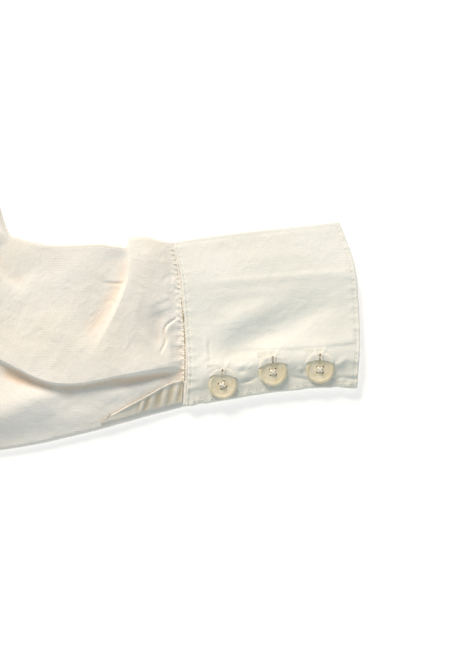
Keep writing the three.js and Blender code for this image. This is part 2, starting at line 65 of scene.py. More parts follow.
def curveThrough(rows, share):  # a smooth curve through its rows, the one that the solids use
    rows = np.asarray(rows, float)
    spans = len(rows) - 1
    padded = np.vstack([2 * rows[0] - rows[1], rows, 2 * rows[-1] - rows[-2]])
    t = np.clip(np.asarray(share, float), 0, 1) * spans
    k = np.minimum(t.astype(int), spans - 1)
    t = (t - k)[..., None]
    p0, p1, p2, p3 = (padded[k + i] for i in range(4))
    m1, m2 = 0.5 * (p2 - p0), 0.5 * (p3 - p1)
    value = (2 * t**3 - 3 * t**2 + 1) * p1 + (t**3 - 2 * t**2 + t) * m1
    return value + (3 * t**2 - 2 * t**3) * p2 + (t**3 - t**2) * m2


def ridge(away, width):
    return np.exp(-((away / width) ** 2))


def patch(bottom, top, left, right, u, v):  # a surface between four edge curves
    zero, one = np.zeros(1), np.ones(1)
    c00, c10, c01, c11 = bottom(zero), bottom(one), top(zero), top(one)
    uu, vv = u[..., None], v[..., None]
    edges = bottom(u) * (1 - vv) + top(u) * vv + left(v) * (1 - uu) + right(v) * uu
    corners = c00 * (1 - uu) * (1 - vv) + c10 * uu * (1 - vv) + c01 * (1 - uu) * vv + c11 * uu * vv
    return edges - corners


def gridNormals(grid, wrap=False):
    along = np.gradient(grid, axis=0)
    around = (np.roll(grid, -1, 1) - np.roll(grid, 1, 1)) if wrap else np.gradient(grid, axis=1)
    normal = np.cross(along, around)
    return normal / np.maximum(np.linalg.norm(normal, axis=2, keepdims=True), 1e-9)


def gridQuads(rows, columns, wrap=False):
    i, j = np.meshgrid(np.arange(rows - 1), np.arange(columns if wrap else columns - 1), indexing="ij")
    after = (j + 1) % columns
    low, high = i * columns, (i + 1) * columns
    return np.stack([low + j, high + j, high + after, low + after], -1).reshape(-1, 4)


def softWall(grid, thickness, rim=3, thin=0.14):  # a closed wall of cloth whose cut edges are rounded
    half = thickness / 2
    angles = np.arange(1, rim + 1) / rim * math.pi / 2
    for axis in (0, 1):
        grid = np.moveaxis(grid, axis, 0)
        for end in (0, 1):
            edge, inner = (grid[0], grid[1]) if end == 0 else (grid[-1], grid[-2])
            out = edge - inner
            out /= np.maximum(np.linalg.norm(out, axis=1, keepdims=True), 1e-9)
            added = np.stack([edge + out * half * (math.sin(a) - 1) for a in angles])
            if end == 0:
                grid = np.concatenate([added[::-1], grid[1:]])
            else:
                grid = np.concatenate([grid[:-1], added])
        grid = np.moveaxis(grid, 0, axis)
    rows, columns = grid.shape[:2]

    def profile(count):
        share = np.ones(count)
        share[:rim] = np.maximum(np.cos(angles[::-1]), thin)
        share[-rim:] = np.maximum(np.cos(angles), thin)
        return share

    swell = half * profile(rows)[:, None] * profile(columns)[None, :]
    offset = gridNormals(grid) * swell[..., None]
    points = np.concatenate([(grid + offset).reshape(-1, 3), (grid - offset).reshape(-1, 3)])
    upper = gridQuads(rows, columns)
    shift = rows * columns
    lower = upper[:, ::-1] + shift
    ring = np.concatenate(
        [
            np.arange(columns),
            np.arange(1, rows) * columns + columns - 1,
            (rows - 1) * columns + np.arange(columns - 2, -1, -1),
            np.arange(rows - 2, 0, -1) * columns,
        ]
    )
    following = np.roll(ring, -1)
    edgeQuads = np.stack([ring, following, following + shift, ring + shift], 1)
    return points, np.concatenate([upper, lower, edgeQuads]), grid


def turnedOut(points, quads):  # faces must point outwards
    a, b, c, d = (points[quads[:, k]] for k in range(4))
    volume = np.einsum("ij,ij->", a, np.cross(b, c)) + np.einsum("ij,ij->", a, np.cross(c, d))
    return quads if volume > 0 else quads[:, ::-1]


# The result serves as the weight of painted shade in the folds.
def hollowness(height, reach, depth, wrap=False):  # how far each point lies below the cloth around it
    blurred = height.copy()
    for axis in (0, 1):
        mode = "wrap" if wrap and axis == 1 else "edge"
        pad = [(reach, reach) if k == axis else (0, 0) for k in (0, 1)]
        total = np.cumsum(np.pad(blurred, pad, mode=mode), axis=axis)
        total = np.moveaxis(total, axis, 0)
        blurred = np.moveaxis((total[2 * reach :] - total[: -2 * reach]) / (2 * reach), 0, axis)
    return smooth((blurred - height) / depth, 0.06, 1.0)


def inFrame(points, side):  # from the draft's millimetres to the frame's metres, mirrored for side -1
    moved = np.array(points, float)
    moved[:, 0] *= side
    moved[:, 1] += draft["shiftY"]
    return moved * 0.001


def addObject(name, mesh):
    made = bpy.data.objects.new(name, mesh)
    scene.collection.objects.link(made)
    return made


def addMesh(name, points, quads, material, grain, side=1, paintedShade=None):
    points = inFrame(points, side)
    quads = turnedOut(points, quads)
    mesh = bpy.data.meshes.new(name)
    mesh.vertices.add(len(points))
    mesh.vertices.foreach_set("co", points.ravel())
    mesh.loops.add(quads.size)
    mesh.loops.foreach_set("vertex_index", quads.ravel().astype(np.int32))
    mesh.polygons.add(len(quads))
    mesh.polygons.foreach_set("loop_start", np.arange(0, quads.size, 4, dtype=np.int32))
    mesh.update(calc_edges=True)
    mesh.polygons.foreach_set("use_smooth", np.ones(len(quads), bool))
    layer = mesh.uv_layers.new(name="grain")
    layer.data.foreach_set("uv", (grain[quads.ravel()] * 0.001).astype(np.float32).ravel())
    # each point's weight of painted shade, which blends its cloth towards the shade colour
    shade = mesh.attributes.new("paintedShade", "FLOAT", "POINT")
    if paintedShade is not None:
        shade.data.foreach_set("value", paintedShade.astype(np.float32).ravel())
    mesh.materials.append(material)
    return addObject(name, mesh)


def onCrook(points):  # from a sleeve's own places to the draft's
    moved = np.array(points, float)
    moved[..., 0] += draft["crook"][0]
    moved[..., 1] += draft["crook"][1]
    return moved


def runAlong(line):  # distance along a line at each of its points
    return np.concatenate([[0], np.cumsum(np.linalg.norm(np.diff(line, axis=0), axis=1))])


def twice(values):  # the same for both faces of a wall
    return np.concatenate([values, values])


def grainOf(u, v):  # place in the weave, from the distances along the cloth and across it
    u, v = np.broadcast_arrays(u, v)
    return np.stack([u.ravel(), v.ravel()], 1)


def dress(piece, nodes):
    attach(piece, "root")
    if nodes:
        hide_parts(*nodes)
    return piece


# folds and crinkles


def fold(path, height, left, right, start=0.3, end=0.3, lean=0):  # widths to its left and right, mm
    widths = {"left": left, "right": right}
    return {"path": path, "height": height, **widths, "start": start, "end": end, "lean": lean}


def foldField(folds, x, y):  # height of the folds at each point, and how far steep ones lean over
    height, leanX, leanY = np.zeros_like(x), np.zeros_like(x), np.zeros_like(x)
    steps = 22
    for each in folds:
        line = curveThrough(each["path"], np.linspace(0, 1, steps + 1))
        reach = 2.6 * max(each["left"], each["right"])  # past this a fold has died away
        near = (x > line[:, 0].min() - reach) & (x < line[:, 0].max() + reach)
        near &= (y > line[:, 1].min() - reach) & (y < line[:, 1].max() + reach)
        if not near.any():
            continue
        px, py = x[near][:, None], y[near][:, None]
        sx, sy = np.diff(line[:, 0]), np.diff(line[:, 1])
        dx, dy = px - line[:-1, 0], py - line[:-1, 1]
        raw = np.clip((dx * sx + dy * sy) / (sx * sx + sy * sy), 0, 1)
        away = np.hypot(dx - raw * sx, dy - raw * sy)
        k = away.argmin(axis=1)
        take = np.arange(len(k)), k
        away, share = away[take], (k + raw[take]) / steps
        onLeft = sx[k] * dy[take] - sy[k] * dx[take] > 0
        width = np.where(onLeft, each["left"], each["right"])
        start, end = each["start"], each["end"]
        fade = (smooth(share, 0, start) if start else 1) * (1 - smooth(share, 1 - end, 1) if end else 1)
        shape = ridge(away, width)
        risen = each["height"] * fade * shape
        height[near] += risen
        if each["lean"]:
            length = np.hypot(sx[k], sy[k])
            toRight = each["lean"] * np.maximum(risen, 0) * np.where(onLeft, shape, 1)
            leanX[near] += toRight * sy[k] / length
            leanY[near] -= toRight * sx[k] / length
    return height, leanX, leanY


def softNoise(x, y, size, seed):  # smooth value noise from -1 to 1
    period = 97
    table = np.random.default_rng(seed).uniform(-1, 1, (period, period))
    u, v = x / size, y / size
    i, j = np.floor(u).astype(int), np.floor(v).astype(int)
    fu, fv = u - i, v - j
    fu, fv = fu * fu * fu * (fu * (6 * fu - 15) + 10), fv * fv * fv * (fv * (6 * fv - 15) + 10)
    i0, i1, j0, j1 = i % period, (i + 1) % period, j % period, (j + 1) % period
    return mix(mix(table[i0, j0], table[i1, j0], fu), mix(table[i0, j1], table[i1, j1], fu), fv)


def crinkle(x, y, seed, coarse=16.0, amount=0.3):  # the uneven surface of washed cotton
    turn = 0.6 + seed
    a, b = x * math.cos(turn) - y * math.sin(turn), x * math.sin(turn) + y * math.cos(turn)
    bend = 2.2 * softNoise(a, b, coarse * 1.4, seed + 7)
    broad = softNoise(a + bend, b * 1.35, coarse, seed)
    ridged = 1 - 2 * np.abs(softNoise(a * 1.2 + bend * 2, b, coarse * 0.6, seed + 1))
    fine = softNoise(b, a * 1.3 + bend, coarse * 0.24, seed + 2)
    return amount * (0.62 * broad + 0.34 * ridged + 0.13 * fine)


def scattered(centre, spread, heading, length, count, height, width, seed):  # a loose family of creases
    rng = np.random.default_rng(seed)
    folds = []
    for _ in range(count):
        x0, y0 = centre[0] + rng.uniform(-1, 1) * spread[0], centre[1] + rng.uniform(-1, 1) * spread[1]
        turn = math.radians(heading + rng.normal(0, 13))
        reach = length * rng.uniform(0.55, 1.3)
        bend = rng.uniform(-0.16, 0.16) * reach
        dx, dy = math.cos(turn), math.sin(turn)
        start, end = [x0 - dx * reach / 2, y0 - dy * reach / 2], [x0 + dx * reach / 2, y0 + dy * reach / 2]
        path = [start, [x0 - dy * bend, y0 + dx * bend], end]
        wide = width * rng.uniform(0.7, 1.4)
        high = height * rng.uniform(0.5, 1.3) * rng.choice([1, 1, -1])
        folds.append(fold(path, high, wide, wide * rng.uniform(0.45, 1), 0.45, 0.45))
    return folds


# materials


def linear(hexColour):  # an sRGB hex value as linear red, green and blue
    channels = [int(hexColour[k : k + 2], 16) / 255 for k in (0, 2, 4)]
    return tuple(c / 12.92 if c <= 0.04045 else ((c + 0.055) / 1.055) ** 2.4 for c in channels) + (1.0,)


def addNode(tree, kind, settings=None, **links):
    node = tree.nodes.new(kind)
    for key, value in (settings or {}).items():
        if hasattr(node, key):
            setattr(node, key, value)
        else:
            node.inputs[key].default_value = value
    for key, source in links.items():
        wanted = [s for s in node.inputs if key in (s.identifier, s.name)]
        tree.links.new(source, wanted[0])
    return node


def feed(tree, socket, value):  # a node's output is linked, a hex colour or a number is set
    if isinstance(value, bpy.types.NodeSocket):
        tree.links.new(value, socket)
    else:
        socket.default_value = linear(value) if isinstance(value, str) else value


def addMath(tree, operation, first, second):
    node = addNode(tree, "ShaderNodeMath", {"operation": operation})
    feed(tree, node.inputs[0], first)
    feed(tree, node.inputs[1], second)
    return node.outputs[0]


def addBlend(tree, share, first, second):  # of two colours
    node = addNode(tree, "ShaderNodeMix", {"data_type": "RGBA"}, Factor_Float=share)
    feed(tree, node.inputs[6], first)
    feed(tree, node.inputs[7], second)
    return node.outputs[2]


def addNoise(tree, place, scale, **values):
    return addNode(tree, "ShaderNodeTexNoise", {"Scale": scale, **values}, Vector=place).outputs["Fac"]


def addRange(tree, value, low, high, toLow=0.0, toHigh=1.0):
    limits = {"From Min": low, "From Max": high, "To Min": toLow, "To Max": toHigh}
    return addNode(tree, "ShaderNodeMapRange", limits, Value=value).outputs["Result"]


def addBump(tree, height, strength, distance):
    return addNode(tree, "ShaderNodeBump", {"Strength": strength, "Distance": distance}, Height=height)


def newMaterial(name):
    made = bpy.data.materials.new(name)
    made.use_nodes = True
    made.node_tree.nodes.clear()
    return made, made.node_tree


def addSurface(tree, colour, bump, values):
    shader = addNode(tree, "ShaderNodeBsdfPrincipled", values, Normal=bump.outputs["Normal"])
    feed(tree, shader.inputs["Base Color"], colour)
    addNode(tree, "ShaderNodeOutputMaterial", Surface=shader.outputs["BSDF"])


# Cotton poplin, plain woven and washed many times. The eye gets a matte, slightly uneven cream with a
# dry crinkled hand. Its hollows take a darker, warmer shade colour: painted shade, standing in for the
# shade and warm bounced light in the folds. Real threads stand 0.3 mm apart, too fine for the picture,
# so they are drawn 1.4 mm apart.
poplin = {
    "pale": "f1ede5",
    "deep": "ede7dc",
    "shadedColour": "ecd4bc",
    "thread": 1.4,
    "crinkle": 5.5,
    "mottle": 38.0,
    "roughness": 0.93,
}


def poplinMaterial(name, values, strength=1.0):
    made, tree = newMaterial(name)
    grain = addNode(tree, "ShaderNodeUVMap", {"uv_map": "grain"}).outputs["UV"]
    wave = {"wave_type": "BANDS", "Distortion": 3.2, "Detail": 2.0, "Detail Scale": 0.35}
    wave["Scale"] = 0.314159 / (values["thread"] * 0.001)
    threads = []
    for direction in ("X", "Y"):
        bands = addNode(tree, "ShaderNodeTexWave", {**wave, "bands_direction": direction}, Vector=grain)
        threads.append(bands.outputs["Fac"])
    weave = addMath(tree, "MULTIPLY", *threads)
    slub = addNoise(tree, grain, 420.0, Detail=3.0, Roughness=0.65)
    crumple = addNoise(tree, grain, 1000.0 / values["crinkle"], Detail=5.0, Roughness=0.55, Distortion=0.9)
    mottle = addRange(tree, addNoise(tree, grain, 1000.0 / values["mottle"], Detail=3.0), 0.36, 0.66)
    ground = addBlend(tree, mottle, values["pale"], values["deep"])
    # painted shade: the cloth's colour blends towards its shade colour by each point's weight
    paintedShade = addNode(tree, "ShaderNodeAttribute", {"attribute_type": "GEOMETRY", "attribute_name": "paintedShade"})
    shadedColour = addBlend(tree, paintedShade.outputs["Fac"], ground, values["shadedColour"])
    weaveShade = addRange(tree, weave, 0.0, 1.0, 0.968, 1.02)
    slubShade = addRange(tree, slub, 0.3, 0.7, 0.982, 1.016)
    shade = addMath(tree, "MULTIPLY", weaveShade, slubShade)
    colour = addNode(tree, "ShaderNodeVectorMath", {"operation": "SCALE"}, Vector=shadedColour, Scale=shade)
    crumpleBump = addBump(tree, crumple, 0.42 * strength, 0.0009)
    weaveBump = addBump(tree, weave, 0.3 * strength, 0.00016)
    tree.links.new(crumpleBump.outputs["Normal"], weaveBump.inputs["Normal"])
    cloth = {"Roughness": values["roughness"], "Specular IOR Level": 0.18, "Sheen Weight": 0.12}
    addSurface(tree, colour.outputs["Vector"], weaveBump, {**cloth, "Sheen Roughness": 0.5})
    return made


# Spun cotton thread, two shades lighter than the cloth: it gives the eye small bright stitches.
thread = {"colour": "f6efdf", "roughness": 0.8}

# Polyester resin cast to look like pale horn: cloudy straw colour, satin, with a soft gloss on its rim.
horn = {"pale": "eee3c8", "deep": "dccda8", "roughness": 0.42, "cloud": 5.0}


def threadMaterial(name, values):
    made, tree = newMaterial(name)
    place = addNode(tree, "ShaderNodeTexCoord").outputs["Object"]
    ply = addBump(tree, addNoise(tree, place, 1600.0, Detail=1.0), 0.4, 0.0001)
    spun = {"Roughness": values["roughness"], "Specular IOR Level": 0.25, "Sheen Weight": 0.2}
    addSurface(tree, values["colour"], ply, spun)
    return made


def hornMaterial(name, values):
    made, tree = newMaterial(name)
    place = addNode(tree, "ShaderNodeTexCoord").outputs["Object"]
    cloud = addNoise(tree, place, 1000.0 / values["cloud"], Detail=4.0, Distortion=1.4)
    colour = addBlend(tree, addRange(tree, cloud, 0.34, 0.68), values["pale"], values["deep"])
    scuffs = addBump(tree, addNoise(tree, place, 900.0, Detail=3.0), 0.12, 0.0002)
    satin = {"Roughness": values["roughness"], "IOR": 1.54, "Coat Weight": 0.15, "Coat Roughness": 0.25}
    addSurface(tree, colour, scuffs, satin)
    return made


washedPoplin = poplinMaterial("washedCottonPoplin", poplin)
# The same poplin cut double: the eye gets a flatter, slightly greyer cream on cuffs and neckband, with a
# greyer colour painted in as shade in its hollows.
doubledTones = {"pale": "f1f0e8", "deep": "ecebe1", "shadedColour": "dbd6c5"}
doubledPoplin = poplinMaterial("doubledCottonPoplin", {**poplin, **doubledTones}, 0.85)
# The same poplin on the lap, with a darker, greyer colour painted in as shade: painted shade under the
# fullness that hangs over the lap and between its puckers.
puckerShadePoplin = poplinMaterial("puckerShadeCottonPoplin", {**poplin, "shadedColour": "bfb499"})
cottonThread = threadMaterial("cottonSewingThread", thread)
# Dark brown thread down each buttonhole slit, painted shade: it stands in for the shadow in the slit and
# gives each slit its dark line.
shadedThread = threadMaterial("slitShadeCottonThread", {"colour": "6a5238", "roughness": 0.9})
# Dark thread beside the gathered seam, painted shade: it stands in for the shadow between the gathers and
# gives the eye the dark broken line beside the cuff.
seamShadeThread = threadMaterial("seamShadeCottonThread", {"colour": "ab9c80", "roughness": 0.9})
hornResin = hornMaterial("castHornResin", horn)
print("materials made")

# the sleeves

sleeve = {
    "rows": [  # from armhole to cuff: x and y of the overarm edge, of the underarm edge, fold radius
        [-238, 242, -185.2, 38.6, 0.75],
        [-180, 218, -173, 20, 1.4],
        [-120, 176, -158, -14, 2.1],
        [-70, 126, -143, -48, 2.3],
        [-32, 74, -126, -80, 2.3],
        [-11, 33, -103, -107, 2.2],
        [-1, 3, -75.4, -124.2, 2.0],
        [6.6, -1.8, -43.4, -131.2, 2.1],
        [15.6, -4.2, -11.4, -130.8, 2.3],
        [25.6, -6, 14.6, -127.2, 2.4],
        [39.6, -6, 34.6, -122.8, 2.4],
        [54.6, -5.6, 53.6, -118.2, 2.3],
        [67.6, -6.8, 67.6, -114.2, 2.1],
        [73.6, -1.4, 76.6, -111.8, 1.9],
        [81.6, -1.2, 85.6, -109.2, 1.7],
        [90.6, -3.8, 94.6, -107, 1.3],
        [97.8, -5.2, 105.2, -104.2, 1.1],
    ],
    "seamBow": 4.2,
    "shoulder": (198, -42),
    "underarm": (250, -245),
    "armholeBow": 24,
    "armholeGap": 0.35,
    "upper": 186,
    "lower": 24,
    "edgeRoll": 0.5,  # the underarm edge is pressed flatter than the rest
    "fullness": 1.1,
    "pleatStep": 5.2,  # the pleat ends in a sharp step on the overarm edge
    "joinsCuff": 0.984,  # from this share of its length the cloth rises to the cuff
    "cuffGap": 0.1,
    "underCuff": 1.1,  # the last of it runs in under the cuff's edge
    "roll": 7,
    "elbow": 0.36,  # share of its length above the crook
    "stationsAbove": 105,
    "stationsBelow": 225,
}


overhangPath = [  # the fullness that hangs over the lap
    [-43, -56], [-22, -66], [-5.4, -74.3], [4.6, -78.8], [14.6, -83.8], [24.6, -87.4], [34.6, -88.6],
    [44.6, -88.1], [54.6, -86.2], [64.6, -84.1], [79.6, -81.6], [94.6, -79.6], [104, -78.6],
]
pleatPath = [[73.4, -0.6], [73.9, -15], [73, -28], [69.6, -38.2], [63.6, -51.2], [54.6, -66], [46, -77]]
hookPath = [[101.4, -50.6], [95, -54.8], [93.2, -58.9], [94.2, -64], [91.8, -69.8], [90.3, -72.9]]
hookLipPath = [[102.5, -51.5], [96.6, -55.6], [94.9, -59.4], [95.9, -64.4], [93.4, -70.4]]

# Every fold below: its path from the crook, height, width to its left and right, share of its length
# that fades in and out, and how far it leans over. These ten the solids have too, drawn sharper here.
mainFolds = [
    fold([[-198, 216], [-144, 132], [-106, 48]], 2.6, 16, 24, 0.35, 0.4),
    fold([[-170, 22], [-132, 14], [-70, 32]], 2.2, 12, 12, 0.2, 0.5),
    fold([[-98, 134], [-58, 78], [-32, 22]], 2.4, 12, 18, 0.4, 0.3),
    fold([[-13, -16], [-61, -52], [-99, -70]], 2.6, 14, 9, 0.2, 0.4),
    fold([[-11, -32], [-43, -80], [-69, -106]], 2.4, 13, 9, 0.3, 0.3),
    fold([[-71, -31], [-50, -13], [-23, -3.7], [1.6, -0.7]], 2.6, 4, 24, 0.5, 0),
    fold([[-40, -8], [-22, -16], [-5.4, -27.6], [0.6, -32.4], [6, -36.6], [18, -43]], 1.5, 4.0, 22, 0.3, 0.5),
    fold(overhangPath, 4.1, 34, 1.9, 0.3, 0.3, 0.45),
    fold(pleatPath, 3.4, 21, 2.6, 0, 0.6, 0.38),
    fold([[-60, -108], [-28, -111], [-5, -109.5], [14, -103.5], [30, -98], [46, -93]], 4.6, 13, 11, 0.3, 0.4),
]
# the smaller ones of the forearm
smallFolds = [
    fold([[-10, -4], [-3.5, -18], [3, -30], [10, -38]], -1.7, 15, 6, 0.15, 0.4),
    fold([[-60, -126], [-10, -127], [14, -122], [34, -114]], -0.8, 9, 14, 0.3, 0.4),
    fold([[68.2, -8], [66.4, -27], [57.6, -43.5], [49, -59], [44, -70]], -1.9, 4.5, 11, 0.1, 0.4),
    fold([[22, -7], [25, -18], [29, -32]], -0.7, 7, 9, 0.2, 0.4),
    fold([[44, -6], [42, -20], [40, -34]], 0.5, 9, 9, 0.3, 0.5),
    fold([[55.5, -29.4], [61.8, -30.2], [66, -30.2], [71.4, -30.0]], -0.3, 0.8, 1.0, 0.25, 0.1),
    fold([[54, -28.2], [62, -28.8], [70, -28.7]], 0.28, 1.8, 0.9, 0.4, 0.2),
    fold(hookPath, -0.85, 0.9, 0.7, 0.05, 0.3),
    fold(hookLipPath, 0.8, 2.6, 0.8, 0.1, 0.3, 0.3),
    fold([[96, -46], [90.4, -52], [89.4, -61], [90.4, -70.6]], -1.1, 4, 5.5, 0.3, 0.3),
    fold([[80, -34], [76.4, -47], [77, -56], [83, -64.5], [90, -72.6]], 0.6, 3.2, 6, 0.3, 0.3),
    fold([[97.8, -43.6], [91, -46.6], [84, -49.6]], 0.24, 1.2, 2.2, 0.1, 0.5),
    fold([[96.6, -38.4], [89, -41.8], [82, -45.6]], 0.22, 1.2, 2.0, 0.1, 0.5),
    fold([[99, -62], [96.8, -70], [97.6, -76]], 0.35, 2.4, 1.8, 0.2, 0.4),
    fold([[-8, -81], [8, -88], [24, -93.5], [36, -95]], -1.3, 3.2, 4.0, 0.2, 0.45),
    fold([[62, -85.6], [76, -83.4], [92, -81.2], [103.6, -79.8]], 2.4, 12, 2.6, 0.4, 0, 0.1),
    fold([[56, -92.6], [68, -90.4], [82, -87], [95, -84.2], [104.6, -82]], -0.9, 3.0, 5.0, 0.3, 0),
    fold([[47, -98], [64, -96.6], [80, -92.4], [98, -88]], 0.8, 2.8, 4.0, 0.35, 0.2),
    fold([[43, -95], [30, -100], [14, -106.5], [-8, -114.6]], -0.8, 5, 5, 0.2, 0.3),
    fold([[58, -106.4], [46, -109.4], [31, -112.6], [12, -119]], 0.5, 4, 4, 0.3, 0.4),
    fold([[33, -40], [30, -58], [24, -72]], 0.6, 9, 9, 0.4, 0.5),
    fold([[12, -50], [16, -62], [14, -74]], -0.5, 8, 8, 0.4, 0.5),
    fold([[84, -8], [86, -18], [84, -30]], 0.35, 4, 6, 0.3, 0.5),
    fold([[98.4, -24], [94, -27.4], [90.6, -33]], -0.35, 1.6, 1.6, 0.1, 0.5),
    fold([[104.4, -79], [103.4, -81.4], [104.4, -84.4]], -1.5, 1.3, 1.3, 0.2, 0.2),
    fold([[-46, 66], [-26, 36], [-14, 8], [-12, -6]], 2.6, 9, 20, 0.3, 0.3),
    fold([[-60, 6], [-40, -20], [-36, -52]], 1.1, 9, 6, 0.4, 0.4),
    fold([[-88, -84], [-60, -92], [-34, -88]], 1.2, 7, 8, 0.4, 0.4),
    fold([[-130, 96], [-110, 40], [-108, -16]], 1.3, 9, 12, 0.4, 0.4),
    fold([[-184, 150], [-168, 96], [-150, 62]], 1.4, 10, 12, 0.4, 0.4),
    fold([[-150, 186], [-110, 140], [-84, 96]], 1.2, 9, 11, 0.4, 0.4),
]
smallFolds += scattered((53.5, -51), (4.5, 6), 52, 6.5, 8, 0.2, 0.8, 3)
smallFolds += scattered((60, -41), (5, 4), 34, 6, 5, 0.17, 0.8, 9)
smallFolds += scattered((28, -68), (18, 9), -150, 11, 7, 0.12, 1.5, 4)
smallFolds += scattered((42, -24), (28, 14), -8, 11, 7, 0.09, 1.5, 5)
smallFolds += scattered((86, -24), (8, 14), -62, 8, 6, 0.13, 1.3, 6)
smallFolds += scattered((30, -106), (44, 9), 8, 14, 9, 0.15, 1.7, 7)
smallFolds += scattered((-90, 40), (60, 120), -55, 30, 22, 0.5, 3.4, 8)


def gatherFolds(seed):  # the gathers that the cuff seam holds in, short and slanting like a twisted cord
    rng = np.random.default_rng(seed)
    folds = []
    y = -9.0
    while y > -86:  # down the seam, which bows out, from its overarm end
        share = (-5 - y) / 99
        seamX = 97.6 + 8.2 * math.sin(min(share, 0.8) * math.pi / 1.6)
        strength = 0.35 if share < 0.24 else 1.0
        reach = rng.uniform(2.6, 4.8)
        tip = [seamX - reach, y + reach * 0.95]
        path = [[seamX + 0.6, y - 0.6], [seamX - reach * 0.5, y + reach * 0.42], tip]
        high = strength * rng.uniform(0.5, 0.85)
        folds.append(fold(path, high, rng.uniform(1.2, 1.8), rng.uniform(0.6, 0.9), 0, 0.55))
        if rng.uniform() < 0.45:  # some run on into the cloth as a long faint crease
            reach = rng.uniform(6, 12)
            middle = [seamX - reach * 0.6, y + rng.uniform(-2, 3)]
            path = [[seamX - 1.5, y + 1], middle, [seamX - reach, y + rng.uniform(-3, 4)]]
            high = strength * rng.uniform(0.14, 0.34)
            folds.append(fold(path, high, rng.uniform(1.2, 2.2), rng.uniform(1.0, 2.0), 0.1, 0.7))
        y -= rng.uniform(3.4, 5.2)
    return folds


def armholeCurve(share, gap):
    (x0, y0), (x1, y1) = sleeve["underarm"], sleeve["shoulder"]
    chord = math.hypot(x1 - x0, y1 - y0)
    bow = 4 * share * (1 - share) * sleeve["armholeBow"] - gap
    return np.stack([-(y1 - y0) / chord * bow, (x1 - x0) / chord * bow], -1)


def sleevePlan(s, across):
    row = curveThrough(sleeve["rows"], s)
    over, under, roll = row[..., 0:2], row[..., 2:4], row[..., 4]
    point = mix(over, under, across[..., None])
    point += armholeCurve(1 - across, sleeve["armholeGap"]) * ridge(s, 0.045)[..., None]
    point[..., 0] += 4 * across * (1 - across) * sleeve["seamBow"] * ridge(1 - s, 0.12)
    pleat = smooth(point[..., 0], 70.4, 72.4) - smooth(point[..., 0], 66.0, 75.0)
    point[..., 1] += sleeve["pleatStep"] * pleat * (1 - smooth(across, 0, 0.2)) * (s > 0.6)
    return point, roll, np.linalg.norm(over - under, axis=-1)


def sleeveTop(s, across, point, roll, seed):  # height of the upper side, and how far it leans
    calm = smooth(s, 0, 0.12) * (1 - 0.85 * smooth(s, 0.93, 1))  # folds die away at both ends
    bulge = 1 - (2 * across - 1) ** 6  # and at both edges
    x, y = point[..., 0].ravel(), point[..., 1].ravel()
    height, leanX, leanY = foldField(mainFolds + smallFolds, x, y)
    gathers, _, _ = foldField(gatherFolds(seed), x, y)
    rough = crinkle(x, y, seed, 17, 0.34)
    shape = across.shape
    height, gathers, rough = height.reshape(shape), gathers.reshape(shape), rough.reshape(shape)
    fullness = sleeve["fullness"] * (1 - (2 * across - 1) ** 2)
    edgeRoll = roll * mix(1, sleeve["edgeRoll"], smooth(across, 0.3, 0.7))
    top = draft["cloth"] + 2 * mix(edgeRoll, roll, bulge) + bulge * calm * (fullness + height)
    top += bulge * smooth(s, 0, 0.05) * (gathers + rough * (1 - 0.5 * smooth(s, 0.95, 1)))
    toCuff = cuffMiddle(across) - draft["doubled"] / 2 - sleeve["cuffGap"] - top
    top += np.maximum(toCuff, 0) * smooth(s, sleeve["joinsCuff"], 1)
    lean = (bulge * calm)[..., None] * np.stack([leanX.reshape(shape), leanY.reshape(shape)], -1)
    return top, lean


def buildSleeve(side, label, seed):
    s = sharesThrough(sleeve["elbow"], sleeve["stationsAbove"], sleeve["stationsBelow"])[:, None]
    _, roll, width = sleevePlan(s, np.zeros_like(s))
    overRadius, underRadius = roll + draft["cloth"] / 2, sleeve["edgeRoll"] * roll + draft["cloth"] / 2
    overInset, underInset = overRadius / width, underRadius / width
    upper = mix(overInset, 1 - underInset, np.linspace(0, 1, sleeve["upper"])[None, :])
    ss = np.broadcast_to(s, upper.shape)
    plan, rolls, _ = sleevePlan(ss, upper)
    top, lean = sleeveTop(ss, upper, plan, rolls, seed)
    upperPoints = np.dstack([plan + lean, top])
    turns = np.arange(1, sleeve["roll"] + 1) / (sleeve["roll"] + 1) * math.pi

    def rolled(edge, sign, radius):
        across = edge + sign * radius * np.sin(turns) / width
        flat, _, _ = sleevePlan(np.broadcast_to(s, across.shape), across)
        return np.dstack([flat, np.broadcast_to(radius * (1 + np.cos(turns)), across.shape)])

    lowerAcross = mix(1 - underInset, overInset, np.linspace(0, 1, sleeve["lower"])[None, :])
    flat, _, _ = sleevePlan(np.broadcast_to(s, lowerAcross.shape), lowerAcross)
    lowerPoints = np.dstack([flat, np.zeros(lowerAcross.shape)])
    underRoll, overRoll = rolled(1 - underInset, 1, underRadius), rolled(overInset, -1, overRadius)[:, ::-1]
    grid = np.concatenate([upperPoints, underRoll, lowerPoints, overRoll], axis=1)
    grid[-1, :, 0] += sleeve["underCuff"]
    grid[-1, : sleeve["upper"], 2] -= 0.3
    grid = onCrook(grid)
    rows, columns = grid.shape[:2]
    quads = gridQuads(rows, columns, True)
    turn, below = np.ones((1, sleeve["roll"])), 2 * width - lowerAcross * width
    v = np.concatenate([upper * width, width * turn, below, 2 * width * turn], axis=1)
    grain = grainOf(runAlong(grid[:, columns // 3])[:, None], v)
    # painted shade in the hollows of the sleeve's upper side, none on its hidden underside
    paintedShade = hollowness(grid[..., 2], 14, 2.2, wrap=True)
    paintedShade[:, sleeve["upper"] :] = 0
    made = addMesh(f"sleeveShell_{label}", grid.reshape(-1, 3), quads, washedPoplin, grain, side, paintedShade)
    dress(made, [f"sleeve_{label}"])


# the gathered lap above the slit

lap = {  # its rows: place along the sleeve, place of its upper edge across it
    "rows": [[0.692, 0.952], [0.763, 0.917], [0.82, 0.9], [0.87, 0.88], [0.94, 0.838], [0.99, 0.83]],
    "lowEdge": 0.97,
    "cloth": 1.0,
    "puckers": 7,
    "puckerHeight": 1.35,
    "along": 120,
    "across": 30,
}


